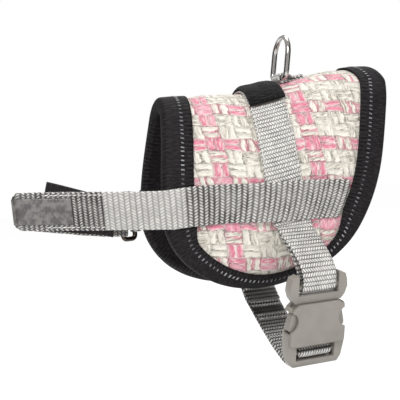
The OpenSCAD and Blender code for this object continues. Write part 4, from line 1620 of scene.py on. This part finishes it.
@dataclass
class ChestLoop:
    """Chest straps, reflective tape, hook and loop tape, and the anchor on the far panel."""

    finishes: Finishes
    front: float = -59.0
    rear: float = 33.0
    fold_x: float = 127.0
    fold_drop: float = 44.7
    fold_r: float = 2.2
    ring_x: float = 64.2
    ring_l: float = 7.2
    wire: float = 2.6
    near_l: float = 72.0
    tape_w: float = 13.0
    tape_l: float = 22.5
    tape_t: float = 0.4
    patch_w: float = 20.0
    patch_l: float = 44.0
    patch_t: float = 0.8
    tail_l: float = 6.5

    def __post_init__(self) -> None:
        """Works out the fixed points of the loop."""
        s, h = SADDLE.chest_s(self.front), SADDLE.chest_h(self.front)
        self.edge = SADDLE.point(self.front, s, h)
        self.edge_w = unit(SADDLE.point(self.front, s + 4) - SADDLE.point(self.front, s - 4))
        self.fold = np.array([-self.fold_x, 0, -self.fold_drop])
        self.fold_w = unit([0.04, 0, -1])
        self.near_g = math.atan2(-self.edge[1] - 2, self.edge[0] + self.fold_x)
        self.bar_a = np.array([-self.ring_x - self.ring_l, 26.4, -54])
        self.bar_c = np.array([-self.ring_x, 29.4, -52])
        self.far_g = math.atan2(self.bar_a[1] - 2, self.bar_a[0] + self.fold_x)
        self.gap = self.wire / 2 + 0.2
        self.over = SADDLE.webbing_t + SADDLE.lap_gap
        self.up_w = np.array([0, 0, -1.0])
        self.far_w = unit([-0.17, 0, -1])

    @staticmethod
    def fold_at(g: Array) -> Array:
        """Outward direction of the fold at an angle."""
        return column(-np.sin(g), -np.cos(g), 0)

    def near_path(self, t: Array) -> Array:
        """Inner middle line from the saddle's edge to the fold."""
        p = self.fold + self.fold_r * self.fold_at(self.near_g)
        away = np.array([math.cos(self.near_g), -math.sin(self.near_g), -0.05])
        return bezier(self.edge, self.edge + [-16, 1.6, 0.6], p + 26 * away, p, t)

    def near_rows(self, t: Array, *size: float) -> Ribbon:
        """Free part on the near side; size as in Ribbon.free: low, half and thick."""
        w = unit(blend(self.edge_w, self.fold_w, ease(t)))
        n = unit(np.cross(self.near_path(t + AHEAD) - self.near_path(t - AHEAD), w))
        return Ribbon.free(self.near_path(t), w, n, *size)

    def fold_rows(self, *size: float) -> Ribbon:
        """The turn at the front of the loop."""
        n = self.fold_at(np.linspace(self.near_g, math.pi - self.far_g, 22))
        return Ribbon.free(self.fold + self.fold_r * n, self.fold_w, n, *size)

    def far_path(self, t: Array) -> Array:
        """Inner middle line from the fold to the ring's front bar."""
        p = self.fold + self.fold_r * self.fold_at(math.pi - self.far_g)
        c, s = math.cos(self.far_g), math.sin(self.far_g)
        end = self.bar_a + (self.gap - self.over) * np.array([-s, c, 0])
        away, home = 18 * np.array([[c, s, -0.12], [c, s, -0.06]])
        return bezier(p, p + away, end - home, end, t)

    def far_rows(self, t: Array, *size: float) -> Ribbon:
        """Free part on the far side."""
        w = blend(self.fold_w, self.far_w, ease(t / 0.45))
        w = unit(w + (self.up_w - w) * ease((t - 0.5) / 0.45)[:, None])
        n = unit(np.cross(self.far_path(t + AHEAD) - self.far_path(t - AHEAD), w))
        return Ribbon.free(self.far_path(t), w, n, *size)

    def on_panel(self, side: Side) -> tuple[Array, Array, Array]:
        """Rows on the panel, from the rear binding forwards: u, s and the inner face's height."""
        f = np.linspace(0, 1, 150)[:, None]
        c = ACROSS[None] * SADDLE.ww * 1.02
        inner = SADDLE.rear_u(SADDLE.chest_s(self.rear) + c) - SADDLE.binding_w * 1.16 - 0.6
        u = (inner * 0.98 + self.rear * 0.02) * (1 - f) + self.front * f
        h = SADDLE.chest_h(self.rear * (1 - f[:, 0]) + self.front * f[:, 0])
        return u, side.value * (SADDLE.chest_s(u) + c), h

    def near(self) -> Ribbon:
        """The near strap, from the rear of the panel to the fold."""
        panel = Ribbon.laid(*self.on_panel(Side.NEAR))
        return panel.then(self.near_rows(np.linspace(0.08, 0.97, 60))).smooth(2)

    def far(self) -> Ribbon:
        """The far strap: lap on the near strap, fold, far run and turn round the ring's bar."""
        low = self.over
        g = degrees(8, 180, 18) - self.far_g
        way = column(np.sin(g), np.cos(g), 0)
        strap = self.near_rows(np.linspace(0.5, 0.98, 30), low).then(
            self.fold_rows(low),
            self.far_rows(np.linspace(0.03, 1, 50), low),
            Ribbon.free(self.bar_a + (self.gap - low) * way, self.up_w, way, low),
        )
        return self.pinched(strap.smooth(2))

    @staticmethod
    def pinched(strap: Ribbon) -> Ribbon:
        """Draws the edges in where the strap turns at the front, as a sewn fold does."""
        share = 1 - 0.17 * ease((-strap.normals[:, MIDDLE, 0] - 0.35) / 0.6)
        middle = strap.points.mean(1, keepdims=True)
        points = middle + (strap.points - middle) * share[:, None, None]
        return Ribbon(points, strap.normals, strap.low, strap.thick)

    def reflective(self) -> Ribbon:
        """Narrow tape on the outside of the fold."""
        size = self.over + SADDLE.webbing_t + 0.12, self.tape_w / 2, self.tape_t
        tape = self.near_rows(np.linspace(1 - self.tape_l / self.near_l, 0.98, 24), *size)
        return tape.then(
            self.fold_rows(*size), self.far_rows(np.linspace(0.03, 0.2, 8), *size)
        ).smooth(1, 0.8)

    def loop_tape(self) -> Ribbon:
        """Loop tape on the inner face of the far run."""
        t = np.linspace(0.12, 0.84, 40)
        size = self.over - self.patch_t - SADDLE.lap_gap, SADDLE.ww - 1, self.patch_t
        return self.far_rows(t, *size).smooth(1, 0.8)

    def lines(self) -> tuple[Array, Array, Array, Array]:
        """Heading, outward, tail point and tail outward direction of the far run's end."""
        a, b = self.far_path(np.array([0.35, 0.95]))
        run = unit(b - a)
        tail_out = unit(np.cross(run, self.up_w))
        return run, unit(np.cross(run, self.far_w)), self.bar_a - tail_out * self.gap, tail_out

    def hook_patch(self) -> bpy.types.Object:
        """Hook patch: a plate with rounded edges and a slight curl, 0.25 mm, at its free end."""
        run, out, tail, _ = self.lines()
        up = unit(np.cross(run, out))
        hinge = tail - run * self.tail_l + out * 0.6
        a = math.radians(8)
        way = unit(up * math.sin(a) - run * math.cos(a) + out * 0.016)
        high = unit(up - way * (up @ way))
        normal = np.cross(high, way)
        c, f = ACROSS[None], np.linspace(0, 1, 60)[:, None]
        start = self.patch_t - c * self.patch_w / 2 * high[0] / way[0]
        x = start * (1 - f) + self.patch_l * f
        y = c * self.patch_w / 2 * (1 - 0.02 * f**8)
        lift = 0.25 * ease((f - 0.75) / 0.25) * np.cos(c * 2)
        base = hinge + way * x[..., None] + high * y[..., None] + normal * lift[..., None]
        skin = normal * (np.sqrt(1 - 0.95 * np.abs(c) ** 12) * self.patch_t / 2)[..., None]
        return slab("hook_patch_tape", base + skin, base - skin, column(y, x))

    def tail(self) -> Ribbon:
        """The far strap's end behind the ring."""
        run, _, tail, out = self.lines()
        p = tail - run * np.linspace(0.3, self.tail_l, 8)[:, None]
        return Ribbon.free(p, self.up_w, -out).smooth()

    def level_rows(self, start: float, count: int, y: float, low: float) -> Ribbon:
        """Level rows from a place in front of the panel to the ring's rear bar.

        Args:
            start: X of the first row.
            count: Number of rows.
            y: Their distance from the middle plane.
            low: Height of the outer face over y.

        Returns:
            The rows.
        """
        p = column(np.linspace(start, -self.ring_x, count), y, self.bar_c[2])
        return Ribbon.free(p, self.up_w, [0, 1.0, 0], low, thick=-SADDLE.webbing_t)

    def anchor(self) -> Ribbon:
        """Anchor strap: across the far panel, forwards and round the ring's rear bar."""
        u, s, h = self.on_panel(Side.FAR)
        thick = SADDLE.webbing_t
        g = degrees(8, 160, 18)
        way = column(np.sin(g), np.cos(g), 0)
        turn = Ribbon.free(self.bar_c - self.gap * way, self.up_w, way, thick=-thick)
        level = self.level_rows(-61.2, 6, self.bar_c[1] - self.gap, 0.0)
        return Ribbon.laid(u, s, h + thick, -thick).then(level, turn).smooth(2)

    def anchor_return(self) -> Ribbon:
        """The anchor's folded-back end."""
        u = np.linspace(-47, self.front, 24)
        s = -(SADDLE.chest_s(u)[:, None] + ACROSS[None] * SADDLE.ww)
        thick = SADDLE.webbing_t
        h = SADDLE.chest_h(u) + 2 * thick + SADDLE.lap_gap + 2.2 * ease((-50 - u) / 9)
        level = self.level_rows(-61.5, 4, self.bar_c[1] + self.gap, thick)
        return Ribbon.laid(u[:, None], s, h, -thick).then(level).smooth(2)

    def ring(self) -> bpy.types.Object:
        """The wire ring: two upright bars joined by short round ends."""
        h, bend = SADDLE.ww + 2.6, 2.2
        a, c = (column(bar[0], bar[1], -53.0) for bar in (self.bar_a, self.bar_c))
        side, width = unit(c - a), np.linalg.norm(c - a)
        q = degrees(0, 90, 10)
        corner = column(bend * (1 - np.cos(q)), h - bend + bend * np.sin(q))
        arch = np.vstack([corner, corner[::-1] * [-1, 1] + [width, 0]])
        bars = np.linspace(-(h - bend), h - bend, 16)[1:-1]
        flat = np.vstack([column(0, bars), arch, column(width, -bars), arch[::-1] * [1, -1]])
        path = a + side * flat[:, :1] + np.array([0, 0, 1.0]) * flat[:, 1:]
        return wire_loop("chest_wire_ring", path, self.wire / 2)

    def build(self) -> Pieces:
        """Builds and places the chest loop."""
        plain = dict(rib=0.0, scallop=0.0)
        pieces = []
        for seed, (name, ribbon, node, key, pitch) in enumerate(
            (
                ("chest_near", self.near(), "chest_strap_near", "chest", 2.55),
                ("chest_far", self.far(), "chest_strap_far", "lapped_shade", 2.5),
                ("chest_tail_end", self.tail(), "chest_tail", "shaded", 2.6),
                ("anchor_run", self.anchor(), "anchor_strap", "shaded", 2.6),
                ("anchor_end", self.anchor_return(), "anchor_return", "shaded", 2.6),
            ),
            31,
        ):
            pieces.append(self.finishes.dress(ribbon.build(name, pitch, seed), key, node))
        for name, ribbon, node, key in (
            ("fold_tape", self.reflective(), "reflective_tape", "reflective"),
            ("loop_tape_strip", self.loop_tape(), "loop_tape", "hook"),
        ):
            pieces.append(self.finishes.dress(ribbon.build(name, 3.0, 50, **plain), key, node))
        ring = self.finishes.dress(self.ring(), "dull", "chest_ring")
        patch = self.finishes.dress(self.hook_patch(), "hook", "hook_tape", Body.HOOK_PATCH)
        return [*pieces, ring, patch]


@dataclass
class LeadRing:
    """The D ring of bright wire and the webbing tab that holds it."""

    finishes: Finishes
    wire: float = 3.0
    width: float = 19.6
    height: float = 22.0
    bend: float = 3.0
    lean: float = 10.0
    tab_w: float = 11.0
    tab_t: float = 1.1
    bar_u: float = 13.6

    def __post_init__(self) -> None:
        """Works out the tab's inner radius round the bar, and the bar's height."""
        self.tab_r = self.wire / 2 + 0.2
        self.ridge = float(SADDLE.ridge_z(np.array(self.bar_u)))
        self.bar_z = self.ridge + SADDLE.face + self.tab_t + self.tab_r

    def ring(self) -> bpy.types.Object:
        """The D: a straight bar, two round corners, two legs and a half circle."""
        w, bend = self.width / 2, self.bend
        top = self.height - w
        q, a = degrees(0, 90, 12), degrees(0, 180, 50)
        corner = column(w - bend + bend * np.sin(q), bend - bend * np.cos(q))
        right = np.vstack([corner, column(w, np.linspace(bend, top, 10)[1:-1])])
        arc = column(w * np.cos(a), top + w * np.sin(a))
        bar = column(np.linspace(-(w - bend), w - bend, 12)[1:-1], 0)
        flat = np.vstack([bar, right, arc, right[::-1] * [-1, 1]])
        g, (y, z) = math.radians(self.lean), flat.T
        path = column(self.bar_u + z * math.sin(g), y, self.bar_z + z * math.cos(g))
        return wire_loop("lead_wire_ring", path, self.wire / 2, 28)

    def rows(self, x: Array, z: Array, flat: Array, out_x: Array, out_z: Array) -> Ribbon:
        """Rows of the tab, which settle onto the ridge as flat goes to 0.

        Args:
            x: Distance behind the bar.
            z: Height over the bar.
            flat: 0 where a row follows the ridge's curve, 1 where it is straight.
            out_x: Direction that heights are counted in, along the spine.
            out_z: The same, upwards.

        Returns:
            The rows.
        """
        c = ACROSS[None] * self.tab_w / 2
        u = self.bar_u + x[:, None]
        top, side = SADDLE.point(u, 0.0)[..., 2], SADDLE.point(u, c)[..., 2]
        rise = top - self.ridge - (1 - flat[:, None]) * (top - side)
        points = column(u, c, self.bar_z + z[:, None] + rise)
        out = unit(column(out_x, 0 * x, out_z))[:, None]
        return Ribbon(points, np.broadcast_to(out, points.shape), 0 * x, self.tab_t)

    def tab(self) -> Ribbon:
        """The tab: flat on the saddle, round the bar and back over itself."""
        r = self.tab_r
        x = np.linspace(13, 2, 16)
        low = self.rows(x, 0 * x - r, 0.7 * ease((5 - x) / 3), 0, -1)
        g = degrees(0, 180, 18)
        turn = self.rows(-r * np.sin(g), -r * np.cos(g), 1 + 0 * g, -np.sin(g), -np.cos(g))
        x = np.linspace(1.2, 11.5, 18)
        fall = ease((x - 1) / 6)
        z = r * (1 - fall) + (-r + 0.2) * fall
        flat = 0.7 * (1 - ease((x - 2) / 5))
        high = self.rows(x, z, flat, 0.45 * np.sin(np.pi * fall), 1)
        return low.then(turn, high).smooth(2, 0.5)

    def build(self) -> Pieces:
        """Builds and places the ring and its tab."""
        ring = self.finishes.dress(self.ring(), "bright", "lead_ring", Body.LEAD_RING)
        tab = self.tab().build("lead_tab", 2.4, 61, 0.12, 0.1)
        return [ring, self.finishes.dress(tab, "webbing", "lead_ring_tab")]


@dataclass
class Handle:
    """The grab handle: webbing over the ridge inside a fuzzy padded sleeve."""

    finishes: Finishes
    width: float = 21.0
    height: float = 1.9
    reach: float = 23.0
    hem: float = 3.6
    inset: float = 4.2

    def webbing(self) -> Ribbon:
        """The inner webbing."""
        reach = self.reach - self.inset
        s = np.linspace(-reach, reach, 90)[:, None]
        return Ribbon.laid(-1.0 - ACROSS[None] * SADDLE.ww, s, SADDLE.face).smooth()

    def sleeve(self) -> bpy.types.Object:
        """The sleeve: a dome (1 - c^4)^0.5 high, lower at both ends, with soft dents."""
        low = SADDLE.face + SADDLE.webbing_t + 0.25
        reach = self.reach - self.hem
        s = np.linspace(-reach, reach, 130)[:, None]
        c = np.linspace(-1, 1, 61)[None]
        ends = 1 - 0.75 * (np.abs(s) / reach) ** 6
        u = -0.6 + c * (self.width / 2 - 0.7) * (1 + 0.03 * wobble(s, c * 0, 12, 71))
        dome = 0.35 + self.height * np.sqrt(np.maximum(0, 1 - c**4)) * ends
        dents = 0.42 * wobble(u, s, 9, 72) * ends + 0.2 * wobble(u, s, 3.0, 73)
        top = SADDLE.point(u, s, low + dome + dents * (1 - c**8))
        return slab("handle_padded_sleeve", top, SADDLE.point(u, s, low), column(u, s))

    def build(self) -> Pieces:
        """Builds and places the handle."""
        webbing = self.webbing().build("handle_inner", 2.9, 70)
        self.finishes.dress(webbing, "webbing", "handle_webbing")
        sleeve = self.finishes.dress(self.sleeve(), "pile", "handle_sleeve")
        return [webbing, sleeve]


@dataclass
class SideBuckle:
    """The four moulded pieces of the buckle, taken from their solids and given round edges."""

    finishes: Finishes
    edge: float = 0.45
    prong_edge: float = 0.35

    def moulded(self, node: str, name: str, body: Body, edge: float) -> bpy.types.Object:
        """A copy of a solid with merged faces and rounded edges.

        Args:
            node: Name of the CAD node.
            name: Name of the piece.
            body: The body that it rides on.
            edge: Width of the rounding, in mm.

        Returns:
            The piece.
        """
        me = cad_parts[node].data.copy()
        bm = bmesh.new()
        bm.from_mesh(me)
        bmesh.ops.remove_doubles(bm, verts=bm.verts, dist=2e-6)
        whole = dict(verts=bm.verts, edges=bm.edges, use_dissolve_boundaries=False)
        bmesh.ops.dissolve_limit(bm, angle_limit=math.radians(1.0), **whole)
        bmesh.ops.recalc_face_normals(bm, faces=bm.faces)
        bm.to_mesh(me)
        bm.free()
        me.name = name
        me.shade_smooth()
        obj = add_object(name, me)
        bevel = obj.modifiers.new("Round edges", "BEVEL")
        bevel.width = edge * MM
        bevel.segments = 3
        bevel.limit_method = "ANGLE"
        bevel.angle_limit = math.radians(28)
        bevel.harden_normals = True
        return self.finishes.dress(obj, "plastic", node, body)

    def build(self) -> Pieces:
        """Builds and places the buckle."""
        return [
            self.moulded(node, name, body, edge)
            for node, name, body, edge in (
                ("buckle_male", "buckle_frame", Body.HARNESS, self.edge),
                ("buckle_female", "buckle_socket", Body.SOCKET, self.edge),
                ("buckle_prong_front", "buckle_front_prong", Body.PRONG_FRONT, self.prong_edge),
                ("buckle_prong_rear", "buckle_rear_prong", Body.PRONG_REAR, self.prong_edge),
            )
        ]


@dataclass
class Seams:
    """Sewing thread that shows on the straps."""

    finishes: Finishes
    girth: GirthStrap
    chest: ChestLoop
    belly: BellyStrap

    def build(self) -> Pieces:
        """Builds the rows of stitches."""
        pieces = []
        for strap, name, ends, offset, span in (
            (self.girth.near(), "girth_thread", ("front", "rear"), 0.88, (0.5, 58)),
            (self.chest.far(), "lap_thread", ("top", "low"), 0.86, (0.5, 28)),
            (self.belly.main(), "belly_thread", ("front", "rear"), 0.8, (1, 16, 2.0)),
        ):
            for sign, end in zip((-1, 1), ends):
                pieces.append(strap.stitches(f"{name}_{end}", sign * offset, *span))
        pieces.append(self.girth.far().tacks("bar_tacks", (-94.5, -96.6, -98.7), False))
        return [self.finishes.dress(obj, "twine") for obj in pieces]


# ---------------------------------------------------------------- studio


@dataclass(frozen=True)
class Studio:
    """Camera, floor and soft lights."""

    target: tuple[float, float, float] = (-32.851, 8.089, -47.035)
    azimuth: float = -17.0
    elevation: float = 2.0
    roll: float = 4.5
    distance: float = 600.0
    lens: float = 102.6
    aim: tuple[float, float, float] = (-0.02, 0.0, -0.05)
    floor_z: float = -158.0
    floor_half: float = 3000.0
    floor_glow: float = 1.12
    floor_white: float = 0.8
    ambient: float = 0.49
    card_side: float = 330.0
    card_near: float = 60.0
    card_wide: float = 420.0
    card_high: float = 700.0

    def camera(self) -> None:
        """Camera on a sphere about the target, rolled about its own axis."""
        a, e, r = (math.radians(v) for v in (self.azimuth, self.elevation, self.roll))
        back = Vector((math.sin(a) * math.cos(e), -math.cos(a) * math.cos(e), math.sin(e)))
        right = Vector((math.cos(a), math.sin(a), 0))
        up = back.cross(right)
        side = right * math.cos(r) - up * math.sin(r)
        top = right * math.sin(r) + up * math.cos(r)
        data = bpy.data.cameras.new("Camera")
        data.lens = self.lens
        data.sensor_width = 36.0
        data.clip_start = 0.01
        cam = add_object("Camera", data)
        place = (Vector(self.target) + back * self.distance) * MM
        rows = Matrix((side, top, back)).transposed().to_4x4()
        cam.matrix_world = Matrix.Translation(place) @ rows
        bpy.context.scene.camera = cam

    def lamp(self, name: str, place: Sequence[float], size: float, power: float) -> None:
        """A square area lamp that faces the aim, a point in the harness, in metres.

        Args:
            name: Name of the lamp.
            place: Its place, in metres.
            size: Side of the square, in metres.
            power: Power, in watts.
        """
        data = bpy.data.lights.new(name, "AREA")
        data.size = size
        data.energy = power
        way = Vector(place) - Vector(self.aim)
        turn = way.to_track_quat("Z", "Y").to_matrix().to_4x4()
        add_object(name, data).matrix_world = Matrix.Translation(place) @ turn

    def world(self) -> None:
        """Pale world: soft grey light, and white where the camera looks."""
        world = bpy.data.worlds.new("World")
        world.use_nodes = True
        tree = world.node_tree
        back = tree.nodes["Background"]
        back.inputs["Color"].default_value = (1, 1, 1, 1)
        g = Graph(tree)
        seen = g.term(tree.nodes.new("ShaderNodeLightPath").outputs["Is Camera Ray"])
        g.link(seen * (1 - self.ambient) + self.ambient, back.inputs["Strength"])
        bpy.context.scene.world = world

    @staticmethod
    def panel(
        name: str, mid: Array, wide: Array, high: Array, mat: bpy.types.Material
    ) -> bpy.types.Object:
        """A stage panel.

        Args:
            name: Name of the panel.
            mid: Its middle, in mm.
            wide: Half its width.
            high: Half its height.
            mat: Its material.

        Returns:
            The panel.
        """
        pts = np.stack([mid - wide - high, mid + wide - high, mid + wide + high, mid - wide + high])
        obj = write_mesh(name, pts, np.array([[0, 1, 2, 3]]))
        obj.data.materials.append(mat)
        return obj

    def floor(self) -> None:
        """White floor, glowing for the camera and reflections and clear from below.

        The face of the floor points down, so Backfacing is 1 where it is seen from above.
        """
        paint = dict(Base_Color=(0.9, 0.9, 0.9), Roughness=0.9, Specular_IOR_Level=0.0)
        m = start_material("Pale floor", **paint)
        g, tree = m.graph, m.material.node_tree
        glow = tree.nodes.new("ShaderNodeEmission")
        glow.inputs["Strength"].default_value = self.floor_glow
        rays = tree.nodes.new("ShaderNodeLightPath").outputs
        seen = g.term(rays["Is Camera Ray"])
        for ray in ("Is Glossy Ray", "Is Transmission Ray"):
            seen = seen.op("MAXIMUM", g.term(rays[ray]))
        above, either = (tree.nodes.new("ShaderNodeMixShader") for _ in range(2))
        clear = tree.nodes.new("ShaderNodeBsdfTransparent")
        side = tree.nodes.new("ShaderNodeNewGeometry").outputs["Backfacing"]
        for source, target in (
            (seen * self.floor_white, above.inputs[0]),
            (m.shader.outputs[0], above.inputs[1]),
            (glow.outputs[0], above.inputs[2]),
            (side, either.inputs[0]),
            (clear.outputs[0], either.inputs[1]),
            (above.outputs[0], either.inputs[2]),
            (either.outputs[0], tree.nodes["Material Output"].inputs[0]),
        ):
            g.link(source, target)
        wide, high = np.array([self.floor_half, 0, 0]), np.array([0, self.floor_half, 0])
        self.panel("floor", np.array([0, 0, self.floor_z]), wide, high, m.material)

    def card(self, name: str, right: float) -> None:
        """A dark card beside the camera's view, which only reflections see.

        Args:
            name: Name of the card.
            right: Distance of its middle to the right of the target, in mm.
        """
        c, s = math.cos(math.radians(self.azimuth)), math.sin(math.radians(self.azimuth))
        back = np.array([s, -c, 0])
        mid = np.array(self.target) + back * self.card_near + np.array([c, s, 0]) * right
        wide, high = back * self.card_wide / 2, np.array([0, 0, self.card_high / 2])
        mat = start_material(name, Base_Color=(0.02, 0.02, 0.02), Roughness=1.0).material
        obj = self.panel(name, mid, wide, high, mat)
        obj.visible_camera = False
        obj.visible_diffuse = False
        obj.visible_shadow = False

    def build(self) -> None:
        """Sets up the studio."""
        self.card("dark_card_left", -self.card_side)
        self.card("dark_card_right", self.card_side)
        self.camera()
        self.world()
        self.floor()
        for name, place, size, power in (
            ("Key", (-0.55, -0.75, 0.65), 0.5, 8.0),
            ("Fill", (0.75, -0.7, 0.1), 0.7, 3.0),
            ("Back", (0.3, 0.85, 0.2), 0.7, 2.2),
            ("Top", (0.1, 0.25, 0.9), 0.6, 5.2),
        ):
            self.lamp(name, place, size, power)
        bpy.context.scene.view_settings.view_transform = "Standard"


def main() -> None:
    """Builds the harness piece by piece, then the studio."""
    logging.basicConfig(level=logging.INFO, format="%(name)s: %(message)s")
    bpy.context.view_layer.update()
    finishes = make_finishes()
    girth = GirthStrap(finishes)
    belly = BellyStrap(finishes, girth)
    chest = ChestLoop(finishes)
    for part in (
        SaddlePad(finishes),
        girth,
        belly,
        chest,
        LeadRing(finishes),
        Handle(finishes),
        SideBuckle(finishes),
        Seams(finishes, girth, chest, belly),
    ):
        for obj in part.build():
            LOG.info("%s: %d faces", obj.name, len(obj.data.polygons))
    Studio().build()
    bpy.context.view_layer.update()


if __name__ == "__main__":
    main()
